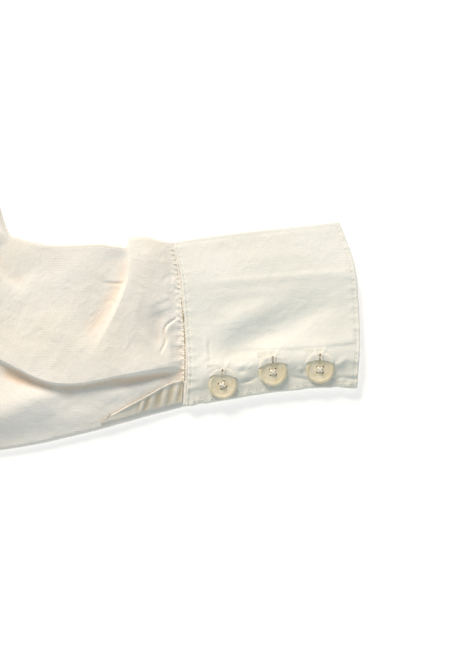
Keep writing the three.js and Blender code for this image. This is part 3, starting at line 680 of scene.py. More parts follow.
def buildLap(side, label, seed):
    at = np.linspace(0, 1, lap["along"])
    row = curveThrough(lap["rows"], at)
    across = mix(row[:, 1:2], lap["lowEdge"], np.linspace(0, 1, lap["across"])[None, :])
    s = np.broadcast_to(row[:, 0:1], across.shape)
    plan, roll, _ = sleevePlan(s, across)
    top, lean = sleeveTop(s, across, plan, roll, seed)
    inStrip = np.linspace(0, 1, lap["across"])[None, :] * np.ones((lap["along"], 1))
    wander = at[:, None] + 0.05 * inStrip + 0.014 * softNoise(at[:, None] * 60, inStrip * 3, 7, seed)
    swell = smooth(at[:, None], 0.25, 0.6) * np.sin(math.pi * np.clip(inStrip, 0, 1)) ** 0.6
    ripple = (0.5 - 0.5 * np.cos(2 * math.pi * lap["puckers"] * wander)) ** 1.3
    strength = 0.75 + 0.5 * softNoise(wander * 30, inStrip * 0, 5, seed + 3)
    top = top + lap["puckerHeight"] * swell * strength * ripple
    rise = 1.0 * ridge(inStrip, 0.13) * smooth(at[:, None], 0, 0.3)  # its upper edge is rolled
    points = np.dstack([plan + lean, top + draft["seamGap"] + lap["cloth"] / 2 + rise])
    wall, quads, grid = softWall(onCrook(points), lap["cloth"])
    grain = twice(grid[..., :2].reshape(-1, 2))
    # painted shade: a little over the whole lap, for the fullness that hangs over it, and more between its
    # puckers
    paintedShade = np.clip(0.3 + 0.6 * (1 - ripple) * swell, 0, 1)
    paintedShade = twice(np.pad(paintedShade, 2, mode="edge"))
    made = addMesh(f"sleeveLap_{label}", wall, quads, puckerShadePoplin, grain, side, paintedShade)
    dress(made, [f"sleeve_lap_{label}"])


# the cuffs

cuff = {
    "over": [[98.2, -5], [116.4, -2.1], [142.2, 1.2], [171, 4.4], [198, 7.5]],
    "under": [[105.8, -104.1], [126.2, -101.1], [156, -96], [186, -93.2], [208.8, -93]],
    "seam": [[98.2, -5], [103.2, -27.6], [105.4, -53.2], [107.2, -80.2], [105.8, -104.1]],
    "end": [[198, 7.5], [207.2, -19.8], [209.8, -46.2], [210.2, -70.2], [208.8, -93]],
    "width": 100,
    "measured": (104, 99),  # along and across, from edge to edge on its outer face
    "lowEdge": 0.995,
    "lap": 0.27,
    "roll": 0.95,
    "seed": 41,
    "stitchInset": 2.4,  # mm inside the wrist end and the buttonhole edge
    "seamInset": 3.0,  # mm inside the gathered seam
    "ride": 1.7,  # mm that the cloth rises on to each button
    "profile": [  # share of the width, level of the middle of the upper layer
        *([0.0, 2.6], [0.1, 3.5], [0.2, 4.6], [0.285, 5.35], [0.34, 5.4], [0.48, 5.2]),
        *([0.6, 5.8], [0.7, 6.5], [0.765, 6.9], [0.84, 6.1], [0.92, 5.2], [1.0, 4.1]),
    ],
    "stations": 150,
    "upper": 138,
}
valleyPath = [[124, -77], [133, -71.6], [145, -66], [160, -59], [184, -48], [204, -38]]
innerEdgePath = [[130, -69.4], [151.8, -68.8], [170.4, -68.2], [192.6, -66.4], [208.8, -64.6]]
cuffFolds = [
    fold(valleyPath, -2.3, 9, 8.5, 0.25, 0.45),
    fold([[122, -58], [136, -52], [156, -44], [176, -34]], 0.8, 7, 7, 0.35, 0.4),
    fold([[124, -56], [142, -49], [160, -41]], 0.6, 6, 8, 0.4, 0.4),
    fold([[168, -60], [184, -56], [204, -50]], 0.5, 6, 8, 0.4, 0.3),
    fold(innerEdgePath, 0.62, 5.5, 1.5, 0.3, 0.05),
    fold([[119.4, -62], [120, -70.2], [121.2, -79]], -0.5, 1.2, 1.0, 0.35, 0.3),
    fold([[118, -60], [118.4, -70], [119, -79]], 0.35, 2.0, 1.2, 0.35, 0.3),
    fold([[167, -85.6], [177, -87], [192, -86.6], [208.8, -87.2]], -0.35, 1.2, 1.2, 0.2, 0),
    fold([[168, -84], [178, -85.2], [192, -84.8], [208.8, -85.4]], 0.3, 2.2, 1.0, 0.2, 0),
    fold([[136, -90], [143, -88.6], [150, -86]], -0.5, 1.2, 1.2, 0.3, 0.3),
    fold([[105, -95], [113, -92], [119, -93]], 0.4, 2.0, 1.4, 0, 0.4),
    fold([[196, -78], [203, -76], [209, -77]], 0.4, 2.4, 1.4, 0.3, 0),
    fold([[197, -92.5], [196.6, -84], [198, -78]], -0.5, 1.0, 1.0, 0.1, 0.4),
    fold([[118, -38], [150, -35.4], [190, -31]], 0.22, 3.0, 3.0, 0.3, 0.3),
    fold([[112, -30.6], [148, -27.4], [178, -25.2], [208, -23.4]], 0.3, 1.8, 4.0, 0.2, 0.1),
    fold([[126, -12], [150, -16], [176, -12]], 0.25, 6, 6, 0.4, 0.4),
]
cuffFolds += scattered((150, -14), (44, 10), -4, 18, 9, 0.1, 1.8, 21)
cuffFolds += scattered((158, -50), (40, 14), 14, 14, 12, 0.13, 1.7, 22)
cuffFolds += scattered((158, -84), (46, 9), 10, 9, 22, 0.42, 1.3, 23)
cuffFolds += scattered((190, -80), (12, 8), 24, 9, 9, 0.42, 1.1, 24)


def edgePuckers():  # small ripples that the stitching draws up along three edges of a cuff
    rng = np.random.default_rng(31)
    folds = []

    def pucker(start, sign, reachX, reachY, heights, lefts, rights, strong=1.0, fade=0.7):
        end = [start[0] + sign * rng.uniform(*reachX), start[1] + rng.uniform(*reachY)]
        high = strong * rng.uniform(*heights)
        folds.append(fold([start, end], high, rng.uniform(*lefts), rng.uniform(*rights), 0, fade))

    x = 110.0
    while x < 206:  # buttonhole edge
        low = -103.6 + (x - 106) * 0.11
        pucker([x, low], 1, (-1, 1), (5, 10), (0.3, 0.75), (0.9, 1.7), (0.8, 1.4))
        x += rng.uniform(3.6, 7.0)
    y = -2.0
    while y > -90:  # the wrist end
        outer = 201 + 9.4 * math.sin(math.pi * min(1, (4 - y) / 110) / 1.7)
        pucker([outer, y], -1, (4, 8), (-1, 1), (0.1, 0.32), (0.9, 1.6), (0.9, 1.6))
        y -= rng.uniform(4, 7.5)
    y = -9.0
    while y > -100:  # the gathered seam
        inner = 99.5 + 6.2 * math.sin(math.pi * min(1, (-5 - y) / 120) / 1.4)
        strong = 1.0 if y < -30 else 0.45
        pucker([inner, y], 1, (5, 12), (-1.5, 2), (0.15, 0.42), (0.9, 1.5), (0.9, 1.6), strong, 0.8)
        y -= rng.uniform(3.4, 6.5)
    return folds


cuffFolds += edgePuckers()
# Place along the cuff and across it, turn on its thread, and how far above the button's centre the
# cloth's edge lies on it, with the slant of that edge.
cuffButtons = [
    {"along": 0.264, "across": 0.893, "turn": 0.45, "cover": 6.2, "lean": -0.05},
    {"along": 0.5165, "across": 0.86, "turn": 0.12, "cover": 5.5, "lean": 0.13},
    {"along": 0.752, "across": 0.871, "turn": 0.0, "cover": 5.6, "lean": -0.02},
]


def cuffPlan(along, across):
    names = ("over", "under", "seam", "end")
    edges = [lambda t, rows=cuff[name]: curveThrough(rows, t) for name in names]
    return patch(*edges, along, across)


cuffProfile = curveThrough(cuff["profile"], np.linspace(0, 1, 400))


def cuffMiddle(across):  # level of the middle of its upper layer
    return np.interp(across, cuffProfile[:, 0], cuffProfile[:, 1])


def cuffRelief(along, across, plan, seed):
    x, y = plan[..., 0].ravel(), plan[..., 1].ravel()
    height, _, _ = foldField(cuffFolds, x, y)
    relief = (height + crinkle(x, y, seed, 15, 0.2)).reshape(across.shape)
    length, width = cuff["measured"]
    toEnd, toSeam = (1 - along) * length, along * length
    toTop, toLow = across * width, (cuff["lowEdge"] - across) * width
    relief *= smooth(across, 0.0, 0.05)
    for away, depth in ((toEnd, 0.3), (toLow, 0.12)):  # topstitching pulls a groove just inside the edge
        relief -= depth * ridge(away - cuff["stitchInset"], 0.8)
    relief -= 0.3 * ridge(toSeam - cuff["seamInset"], 0.8)
    relief += 0.45 * ridge(toSeam, 1.2)  # the turned edge at the gathers stands up
    relief += 0.12 * ridge(toTop, 3.0)
    for values in cuffButtons:  # the cloth above each buttonhole rides up on its button
        at = cuffPlan(np.array([values["along"]]), np.array([values["across"]]))[0]
        x, y = plan[..., 0] - at[0], plan[..., 1] - at[1]
        away = np.hypot(x, y)
        raised = smooth(away, 5.5, 8.8) * smooth(y, -4, 6) * ridge(np.maximum(away - 8.8, 0), 7)
        relief += cuff["ride"] * raised
        for pull in (-1, 1):  # two small pleats fan out above it
            pleat = 0.5 * ridge(x - pull * (1.5 + 0.3 * (y - 8)), 0.9)
            relief += pleat * smooth(y, 8, 9.5) * (1 - smooth(y, 11, 15))
    return relief


def cuffTopAt(along, across):  # the outer surface at a few places
    along, across = np.atleast_1d(np.asarray(along, float)), np.atleast_1d(np.asarray(across, float))
    plan = cuffPlan(along, across)
    height = cuffMiddle(across) + cuffRelief(along, across, plan, cuff["seed"]) + draft["doubled"] / 2
    return np.column_stack([plan, height])


def buildCuff(side, label):
    roll, lower = cuff["roll"], draft["doubled"] / 2
    inset = (roll + lower) / cuff["width"]
    upper = lower + 2 * roll
    turns = np.linspace(0, math.pi, 10)

    def turned(edge, sign, angles):
        out = [sign * roll * math.sin(t) / cuff["width"] for t in angles]
        return [(edge + away, lower + roll * (1 + math.cos(t))) for away, t in zip(out, angles)]

    section = [(mix(1 - cuff["lap"], 1 - inset, t), upper) for t in np.linspace(0, 1, 8, endpoint=False)]
    section += turned(1 - inset, 1, turns)
    section += [(mix(1 - inset, inset, t), lower) for t in np.linspace(0, 1, 16)[1:-1]]
    section += turned(inset, -1, turns[::-1])
    hidden = len(section)
    section += [(across, 0) for across in np.linspace(inset, cuff["lowEdge"], cuff["upper"])[1:]]
    across = np.array([a for a, _ in section])[None, :] * np.ones((cuff["stations"], 1))
    level = np.array([z for _, z in section])[None, :] * np.ones((cuff["stations"], 1))
    along = mix(0.004, 1, np.linspace(0, 1, cuff["stations"]))[:, None] * np.ones((1, across.shape[1]))
    plan = cuffPlan(along, across)
    top = cuffMiddle(across) + cuffRelief(along, across, plan, cuff["seed"])
    isTop = np.arange(across.shape[1])[None, :] >= hidden
    level = np.where(isTop, top, level)
    joined = smooth(across, inset - 0.001, inset + 0.03)
    level = np.where(isTop, mix(upper, level, np.where(isTop, joined, 1)), level)
    x, y = along * cuff["measured"][0], across * cuff["width"]  # its edges are a little uneven
    plan[..., 0] += 0.22 * softNoise(x, y, 6.0, 51) * smooth(along, 0.9, 1)
    plan[..., 1] += 0.5 * softNoise(x, 0 * y, 6.0, 52) * smooth(across, 0.9, 1)
    wall, quads, soft = softWall(onCrook(np.dstack([plan, level])), draft["doubled"])
    rows = len(soft)
    grain = grainOf(np.linspace(0, cuff["measured"][0], rows)[:, None], runAlong(soft[rows // 2])[None, :])
    lowBandShade = 0.4 * smooth(np.pad(across[0], 2, mode="edge"), 0.77, 0.87)  # painted shade on the band from its buttons to its lower edge, where it slopes away from the light
    # painted shade in the cuff's hollows as well, none on its hidden lower layer
    paintedShade = np.clip(hollowness(soft[..., 2], 9, 2.6) + lowBandShade, 0, 1)
    paintedShade[:, : hidden + 3] = 0
    made = addMesh(f"cuffShell_{label}", wall, quads, doubledPoplin, twice(grain), side, twice(paintedShade))
    dress(made, [f"cuff_{label}"])


for side, label, seed in sleeves:
    buildSleeve(side, label, seed)
    buildCuff(side, label)
    buildLap(side, label, seed)
print("sleeves and cuffs made")

# the body

body = {
    "length": 620,
    "hemRise": 18,
    "neckHalf": 78,
    "frontNeckDrop": 82,
    "backNeckDrop": 18,
    "waist": (241, -400),
    "hemSide": 256,
    "lapHalf": 15,
    "sideShare": 0.62,  # of an outer edge, from the hem up to the armhole
    "neckShare": 0.5,  # of an upper edge, from the centre to the shoulder seam
    "stitchLift": 0.14,
    "placketStitches": (14.5, -12.0),
    "columns": 120,
    "rowsBelow": 90,
    "rowsAbove": 60,
}
frontFolds = [
    fold([[150, -70], [128, -200], [140, -420]], 3.4, 15, 12, 0.3, 0.4),
    fold([[244, -250], [190, -296], [110, -330], [60, -336]], 4.6, 10, 20, 0.2, 0.5),
    fold([[240, -268], [200, -340], [140, -400], [96, -424]], 3.6, 8, 17, 0.2, 0.5),
    fold([[238, -290], [222, -370], [176, -450]], 2.6, 8, 14, 0.2, 0.5),
    fold([[200, -400], [184, -500], [206, -612]], 3.6, 13, 18, 0.4, 0.1),
    fold([[92, -360], [66, -480], [84, -616]], 3.4, 17, 12, 0.4, 0.1),
    fold([[146, -450], [124, -530], [140, -616]], 2.6, 10, 13, 0.4, 0.1),
    fold([[176, -60], [120, -112], [66, -196]], 3.2, 11, 18, 0.3, 0.5),
    fold([[196, -80], [160, -150], [96, -238]], 2.6, 9, 15, 0.3, 0.5),
    fold([[212, -130], [180, -200], [140, -240]], 2.0, 8, 13, 0.2, 0.5),
    fold([[36, -250], [56, -330], [44, -450]], 2.0, 9, 12, 0.4, 0.4),
    fold([[232, -420], [220, -510], [236, -600]], 2.0, 8, 11, 0.4, 0.2),
    fold([[30, -470], [90, -500], [150, -496]], 1.8, 8, 12, 0.4, 0.4),
]


def hemPoint(x):
    return np.stack([x, -body["length"] + body["hemRise"] * (x / body["hemSide"]) ** 2], -1)


def neckPoint(angle, drop):
    return np.stack([body["neckHalf"] * np.sin(angle), -drop * np.cos(angle)], -1)


def halfPatch(inner, drop, u, v):  # a half of the body, from x = inner to the side seam and armhole
    neckShare, sideShare = body["neckShare"], body["sideShare"]
    firstAngle = math.asin(inner / body["neckHalf"])
    shoulder, underarm = np.array(sleeve["shoulder"]), np.array(sleeve["underarm"])

    def top(t):
        onNeck = neckPoint(mix(firstAngle, math.pi / 2, np.clip(t / neckShare, 0, 1)), drop)
        share = np.clip((t - neckShare) / (1 - neckShare), 0, 1)[..., None]
        onShoulder = mix(np.array([body["neckHalf"], 0.0]), shoulder, share)
        return np.where((t < neckShare)[..., None], onNeck, onShoulder)

    def right(t):
        hemSide = [body["hemSide"], -body["length"] + body["hemRise"]]
        onSide = curveThrough([hemSide, body["waist"], sleeve["underarm"]], np.clip(t / sideShare, 0, 1))
        share = np.clip((t - sideShare) / (1 - sideShare), 0, 1)
        onArm = mix(underarm, shoulder, share[..., None]) + armholeCurve(share, 0)
        return np.where((t < sideShare)[..., None], onSide, onArm)

    lowest, highest = hemPoint(np.array([inner]))[0], neckPoint(np.array([firstAngle]), drop)[0]

    def left(t):
        return mix(lowest, highest, t[..., None])

    def bottom(t):
        return hemPoint(mix(inner, body["hemSide"], t))

    return patch(bottom, top, left, right, u, v)


def bodyShares(step=1):
    u = sharesThrough(0.2, 30, body["columns"] - 30)
    v = sharesThrough(body["sideShare"], body["rowsBelow"], body["rowsAbove"])
    return np.meshgrid(np.append(u[:-1:step], 1.0), np.append(v[:-1:step], 1.0), indexing="xy")


def seamLines():  # where a front is stitched, as rows of x and y
    t = np.linspace(0, 1, 200)
    hemX = mix(-9.0, body["hemSide"] - 6, t)
    hem = hemPoint(hemX) + np.array([0, 8.0])
    (x0, y0), (x1, y1) = sleeve["underarm"], sleeve["shoulder"]
    share = mix(0.03, 0.97, t)
    armhole = mix(np.array([x0, y0]), np.array([x1, y1]), share[:, None]) + armholeCurve(share, -5.0)
    atNeck, atArm = np.array([body["neckHalf"] + 3, 0.0]), np.array([x1 - 4, y1])
    return [hem, armhole, mix(atNeck, atArm, t[:, None]) - np.array([0.8, 4.0])]


def frontLevel(x, y, lapping, seed):  # level of the middle of a front's cloth
    calm = smooth(x, 22, 46) * (1 - smooth(x, 228, 248)) * smooth(-y, 70, 120)  # seams hold it flat
    extra = scattered((140, -330), (90, 240), -80, 60, 30, 0.8, 5, seed)
    height, _, _ = foldField(frontFolds + extra, x.ravel(), y.ravel())
    rough = crinkle(x, y, seed, 24, 0.4)
    layer = draft["cloth"] + draft["seamGap"]
    climb = layer * (1 - smooth(x, body["lapHalf"] + 1.5, body["lapHalf"] + 15)) if lapping else 0
    inward = smooth(x, 15, 30)
    level = draft["cloth"] / 2 + layer + calm * height.reshape(x.shape)
    level += (0.25 + 0.75 * inward) * 0.5 * (rough + 0.3) + climb
    if lapping:  # the stitched placket stands a little proud, with a groove at each stitch line
        outer, inner = body["placketStitches"]
        level += 0.18 * (1 - smooth(x, outer, 16))
        level -= 0.2 * ridge(x - outer, 0.8) + 0.2 * ridge(x - inner, 0.8)
    return level


def buildFront(side, label, lapping, seed):
    u, v = bodyShares()
    plan = halfPatch(-body["lapHalf"], body["frontNeckDrop"], u, v)
    level = frontLevel(plan[..., 0], plan[..., 1], lapping, seed)
    wall, quads, soft = softWall(np.dstack([plan, level]), draft["cloth"])
    grain = twice(soft[..., :2].reshape(-1, 2))
    made = addMesh(f"frontShell_{label}", wall, quads, washedPoplin, grain, side)
    dress(made, [f"front_{label}"])
    rows = []
    for line in seamLines():
        level = frontLevel(line[:, 0], line[:, 1], lapping, seed) + draft["cloth"] / 2 + body["stitchLift"]
        rows.append(np.column_stack([line, level]))
    return rows


def buildBack():
    u, v = bodyShares(2)
    half = halfPatch(0.0, body["backNeckDrop"], u, v)
    mirrored = half[:, :0:-1] * np.array([-1, 1])
    plan = np.concatenate([mirrored, half], axis=1)
    grid = np.dstack([plan, np.full(plan.shape[:2], draft["cloth"] / 2)])
    wall, quads, soft = softWall(grid, draft["cloth"])
    grain = twice(soft[..., :2].reshape(-1, 2))
    made = addMesh("backShell", wall, quads, washedPoplin, grain)
    dress(made, ["back"])


buildBack()
frontSeams = {"left": buildFront(1, "left", False, 61), "right": buildFront(-1, "right", True, 62)}
print("body made")

# the neckband

band = {
    "rise": 27,
    "sideInset": 1.8,
    "gap": 0.1,
    "topHalf": 69,
    "frontTopDrop": 79,
    "backTopDrop": 14,
    "front": 90,
    "fold": 12,
    "back": 90,
    "across": 14,
}


def buildNeckband():
    bottomHalf, cloth = body["neckHalf"] - band["sideInset"], draft["doubled"]
    low = cloth / 2
    high = low + cloth + 0.5
    radius = (high - low) / 2
    quarter, lapAngle = math.pi / 2, math.asin(body["lapHalf"] / bottomHalf)
    stations = []

    def station(angle, drop, topDrop, level):
        a = [bottomHalf * math.sin(angle), -(drop - band["gap"]) * math.cos(angle)]
        b = [band["topHalf"] * math.sin(angle), band["rise"] - topDrop * math.cos(angle)]
        stations.append((a, b, level))

    def turned(sign, share):
        out = radius * math.sin(share * math.pi)
        a, b = [sign * (bottomHalf + out), 0], [sign * (band["topHalf"] + out), band["rise"]]
        stations.append((a, b, low + radius * (1 + math.cos(share * math.pi))))

    for k in range(band["front"]):
        angle = mix(-lapAngle, quarter, k / band["front"])
        station(angle, body["frontNeckDrop"], band["frontTopDrop"], high)
    for k in range(band["fold"] + 1):
        turned(1, k / band["fold"])
    for k in range(1, band["back"]):
        angle = mix(quarter, -quarter, k / band["back"])
        station(angle, body["backNeckDrop"], band["backTopDrop"], low)
    for k in range(band["fold"], -1, -1):
        turned(-1, k / band["fold"])
    for k in range(band["front"] - 1, -1, -1):
        angle = mix(lapAngle, -quarter, k / band["front"])
        climb = 1 - float(smooth(np.float64(-angle), 0.24, 0.42))
        level = high + (cloth + draft["seamGap"]) * climb
        station(angle, body["frontNeckDrop"], band["frontTopDrop"], level)
    share = np.linspace(0, 1, band["across"])[None, :, None]
    a = np.array([s[0] for s in stations])[:, None, :]
    b = np.array([s[1] for s in stations])[:, None, :]
    plan = mix(a, b, share)
    level = np.array([s[2] for s in stations])[:, None] * np.ones((1, band["across"]))
    ripple = 0.16 * softNoise(plan[..., 0], plan[..., 1], 7, 71)
    inside = (share[..., 0] * 29, (1 - share[..., 0]) * 29)  # from its lower and its upper edge
    level = level + ripple - 0.15 * sum(ridge(away - 2.2, 0.8) for away in inside)
    wall, quads, soft = softWall(np.dstack([plan, level]), cloth)
    columns = soft.shape[1]
    grain = grainOf(runAlong(soft[:, columns // 2])[:, None], np.linspace(0, 30, columns)[None, :])
    made = addMesh("neckbandShell", wall, quads, doubledPoplin, twice(grain))
    dress(made, ["neckband"])
    lines = []
    last = len(stations) - 4
    shown = (slice(4, band["front"] + 1), slice(last - band["front"] + 3, last))
    onTop = np.array([s[2] for s in stations]) + cloth / 2 - 0.03
    for inset in (0.085, 0.915):  # stitched 2.5 mm inside both edges, on the part that shows
        edgeLine = mix(a[:, 0], b[:, 0], inset)
        lines += [np.column_stack([edgeLine[part], onTop[part]]) for part in shown]
    return high + cloth + draft["seamGap"] + cloth / 2, lines


bandTop, bandSeams = buildNeckband()
print("neckband made")

# the buttons, with their thread

button = {
    "diameter": 17,
    "thickness": 1.9,
    "rim": 1.5,
    "dish": 0.45,
    "hole": 0.7,
    "spacing": 3.2,
    "segments": 56,
    "threadRadius": 0.26,
    "gap": 0.15,
}


def meshFrom(shape, name):
    mesh = bpy.data.meshes.new(name)
    shape.to_mesh(mesh)
    shape.free()
    return mesh


def baked(made):  # its mesh with the modifiers applied
    graph = bpy.context.evaluated_depsgraph_get()
    return bpy.data.meshes.new_from_object(made.evaluated_get(graph))


def buttonSource():
    radius, thick, dish = button["diameter"] / 2, button["thickness"], button["dish"]
    rimIn = radius - 0.7 - button["rim"]
    profile = [(0.0, 0.0), (radius * 0.55, 0.0), (radius - 1.1, 0.06), (radius - 0.35, 0.45), (radius, 0.95)]
    profile += [(radius - 0.05, 1.4), (radius - 0.4, 1.75), (radius - 0.95, thick)]
    profile += [(rimIn + 0.55, thick - 0.03), (rimIn + 0.1, thick - 0.28), (rimIn - 0.35, thick - dish)]
    profile += [(rimIn * 0.6, thick - dish - 0.08), (0.0, thick - dish - 0.05)]
    shape = bmesh.new()
    segments = button["segments"]
    rings = []
    for r, z in profile:
        angles = [2 * math.pi * k / segments for k in range(segments if r else 1)]
        rings.append([shape.verts.new((r * math.cos(a), r * math.sin(a), z)) for a in angles])
    for lower, upper in zip(rings, rings[1:]):
        for k in range(segments):
            after = (k + 1) % segments
            if len(lower) == 1:
                shape.faces.new((lower[0], upper[after], upper[k]))
            elif len(upper) == 1:
                shape.faces.new((lower[k], lower[after], upper[0]))
            else:
                shape.faces.new((lower[k], lower[after], upper[after], upper[k]))
    bmesh.ops.recalc_face_normals(shape, faces=shape.faces)
    holes = bmesh.new()
    cylinder = {"cap_ends": True, "segments": 14, "radius1": button["hole"], "radius2": button["hole"]}
    for i in (-1, 1):
        for j in (-1, 1):
            made = bmesh.ops.create_cone(holes, **cylinder, depth=3 * thick)
            place = (i * button["spacing"] / 2, j * button["spacing"] / 2, thick / 2)
            bmesh.ops.translate(holes, verts=made["verts"], vec=place)
    whole = addObject("buttonWhole", meshFrom(shape, "buttonDisc"))
    tool = addObject("holeTool", meshFrom(holes, "holeCutter"))
    cut = whole.modifiers.new("holes", "BOOLEAN")
    cut.operation, cut.object, cut.solver = "DIFFERENCE", tool, "EXACT"
    result = baked(whole)
    for spare in (whole, tool):
        bpy.data.objects.remove(spare)
    points = np.zeros(len(result.vertices) * 3)
    result.vertices.foreach_get("co", points)
    faces = [list(p.vertices) for p in result.polygons]
    return points.reshape(-1, 3), faces


def strand(start, end, lift, radius, sideways):  # one thread that arches between two holes
    start, end = np.array(start, float), np.array(end, float)
    sides, steps = 6, 9
    t = np.linspace(0, 1, steps)
    direction = (end - start) / np.linalg.norm(end - start)
    across = np.array([-direction[1], direction[0], 0])
    centre = mix(start, end, t[:, None]) + across * sideways
    centre[:, 2] += lift * np.sin(math.pi * t) ** 0.5
    centre[0, 2] -= 1.0
    centre[-1, 2] -= 1.0
    tangent = np.gradient(centre, axis=0)
    tangent /= np.linalg.norm(tangent, axis=1, keepdims=True)
    up = np.cross(tangent, across)
    angle = np.linspace(0, 2 * math.pi, sides, endpoint=False)
    out = np.cos(angle)[None, :, None] * across + np.sin(angle)[None, :, None] * up[:, None, :]
    return (centre[:, None, :] + radius * out).reshape(-1, 3), gridQuads(steps, sides, True)


buttonPoints, buttonFaces = buttonSource()


def placed(points, centre, turn, side, tilt=0.0):
    cosine, sine = math.cos(turn), math.sin(turn)
    x, y, z = points[:, 0], points[:, 1], points[:, 2]
    x, y = x * cosine - y * sine, x * sine + y * cosine
    y, z = y * math.cos(tilt) - z * math.sin(tilt), y * math.sin(tilt) + z * math.cos(tilt)
    return inFrame(np.column_stack([x, y, z]) + np.array(centre), side)


def addButton(name, node, centre, turn, side=1, tilt=0.0):
    mesh = bpy.data.meshes.new(name)
    faces = [f[::-1] for f in buttonFaces] if side < 0 else buttonFaces
    mesh.from_pydata(placed(buttonPoints, centre, turn, side, tilt).tolist(), [], faces)
    mesh.materials.append(hornResin)
    made = addObject(name, mesh)
    mesh.shade_smooth()
    mesh.set_sharp_from_angle(angle=math.radians(38))
    dress(made, [node])
    half = button["spacing"] / 2
    level = button["thickness"] - button["dish"]
    allPoints, allQuads, count = [], [], 0
    for a, b, lift in (((-half, -half), (half, half), 0.5), ((-half, half), (half, -half), 0.95)):
        for sideways in (-0.3, 0.0, 0.3):
            points, quads = strand((*a, level), (*b, level), lift, button["threadRadius"], sideways)
            allPoints.append(points)
            allQuads.append(quads + count)
            count += len(points)
    points, quads = np.concatenate(allPoints), np.concatenate(allQuads)
    threads = bpy.data.meshes.new(name + "Thread")
    quads = quads[:, ::-1] if side > 0 else quads
    threads.from_pydata(placed(points, centre, turn, side, tilt).tolist(), [], quads.tolist())
    threads.materials.append(cottonThread)
    threads.shade_smooth()
    dress(addObject(name + "Thread", threads), [])


cuffButtonPlaces = []
for side, label, _ in sleeves:
    for k, values in enumerate(cuffButtons):
        offsets = np.array([-8.5, -4.2, 0, 4.2, 8.5])
        nearby = cuffMiddle(values["across"] + offsets / cuff["width"]) + draft["doubled"] / 2
        slope = (nearby[0] - nearby[-1]) / button["diameter"]
        level = (nearby + offsets * slope).max() + button["gap"]
        plan = cuffPlan(np.array([values["along"]]), np.array([values["across"]]))[0]
        centre = onCrook([*plan, level])
        name, node = f"cuffButton_{label}_{k + 1}", f"cuff_button_{label}_{k + 1}"
        addButton(name, node, centre, values["turn"], side, math.atan(slope))
        cuffButtonPlaces.append((side, label, k, centre, slope, values))

placket = {"first": -112, "last": -540, "count": 6, "band": -66}
placketTop = 2 * draft["cloth"] + 2 * (draft["cloth"] + draft["seamGap"]) - draft["cloth"] + 0.45
frontButtonPlaces = []
for k in range(placket["count"]):
    y = mix(placket["first"], placket["last"], k / (placket["count"] - 1))
    centre = (0.0, y, placketTop + button["gap"])
    addButton(f"frontButton_{k + 1}", f"front_button_{k + 1}", centre, 0.2 * math.sin(3 * k))
    frontButtonPlaces.append(centre)
addButton("bandButton", "band_button", (0.0, placket["band"], bandTop + button["gap"]), 0.1)
print("buttons made")

# stitches along a line, made by Geometry Nodes


def stitchTree():
    tree = bpy.data.node_groups.new("stitchRow", "GeometryNodeTree")
    tree.is_modifier = True
    face = tree.interface
    face.new_socket(name="Geometry", in_out="INPUT", socket_type="NodeSocketGeometry")
    for name in ("Pitch", "Stitch Length", "Thread Width", "Turn", "Looseness"):
        face.new_socket(name=name, in_out="INPUT", socket_type="NodeSocketFloat")
    face.new_socket(name="Thread", in_out="INPUT", socket_type="NodeSocketMaterial")
    face.new_socket(name="Geometry", in_out="OUTPUT", socket_type="NodeSocketGeometry")
    given = addNode(tree, "NodeGroupInput").outputs

    def geometry(kind, settings=None, **links):  # a node and its geometry
        return addNode(tree, kind, settings, **links).outputs[0]

    lines = geometry("GeometryNodeMeshToCurve", Mesh=given["Geometry"])
    spaced = geometry("GeometryNodeResampleCurve", {"mode": "LENGTH"}, Curve=lines, Length=given["Pitch"])
    tangent = addNode(tree, "GeometryNodeInputTangent").outputs["Tangent"]
    facing = addNode(tree, "FunctionNodeAlignRotationToVector", {"axis": "X"}, Vector=tangent)
    wobble = addNode(tree, "FunctionNodeRandomValue", {"data_type": "FLOAT", "Seed": 5})
    limits = {"Min": addMath(tree, "MULTIPLY", given["Looseness"], -1.0), "Max": given["Looseness"]}
    for socket in wobble.inputs:
        if socket.name in limits and socket.type == "VALUE" and socket.enabled:
            tree.links.new(limits[socket.name], socket)
    turn = addMath(tree, "ADD", given["Turn"], [s for s in wobble.outputs if s.enabled][0])
    spin = addNode(tree, "ShaderNodeCombineXYZ", Z=turn).outputs["Vector"]
    asTurn = addNode(tree, "FunctionNodeEulerToRotation", Euler=spin).outputs["Rotation"]
    turned = addNode(tree, "FunctionNodeRotateRotation", {"rotation_space": "LOCAL"})
    tree.links.new(facing.outputs["Rotation"], turned.inputs[0])
    tree.links.new(asTurn, turned.inputs[1])
    ball = geometry("GeometryNodeMeshUVSphere", {"Segments": 6, "Rings": 4, "Radius": 0.5})
    length, width = given["Stitch Length"], given["Thread Width"]
    scale = addNode(tree, "ShaderNodeCombineXYZ", X=length, Y=width, Z=width)
    stitch = geometry("GeometryNodeTransform", Geometry=ball, Scale=scale.outputs["Vector"])
    rounded = geometry("GeometryNodeSetShadeSmooth", Geometry=stitch)
    onEach = {"Points": spaced, "Instance": rounded, "Rotation": turned.outputs["Rotation"]}
    copies = geometry("GeometryNodeInstanceOnPoints", **onEach)
    real = geometry("GeometryNodeRealizeInstances", Geometry=copies)
    coloured = geometry("GeometryNodeSetMaterial", Geometry=real, Material=given["Thread"])
    addNode(tree, "NodeGroupOutput", Geometry=coloured)
    return tree


stitchRow = stitchTree()


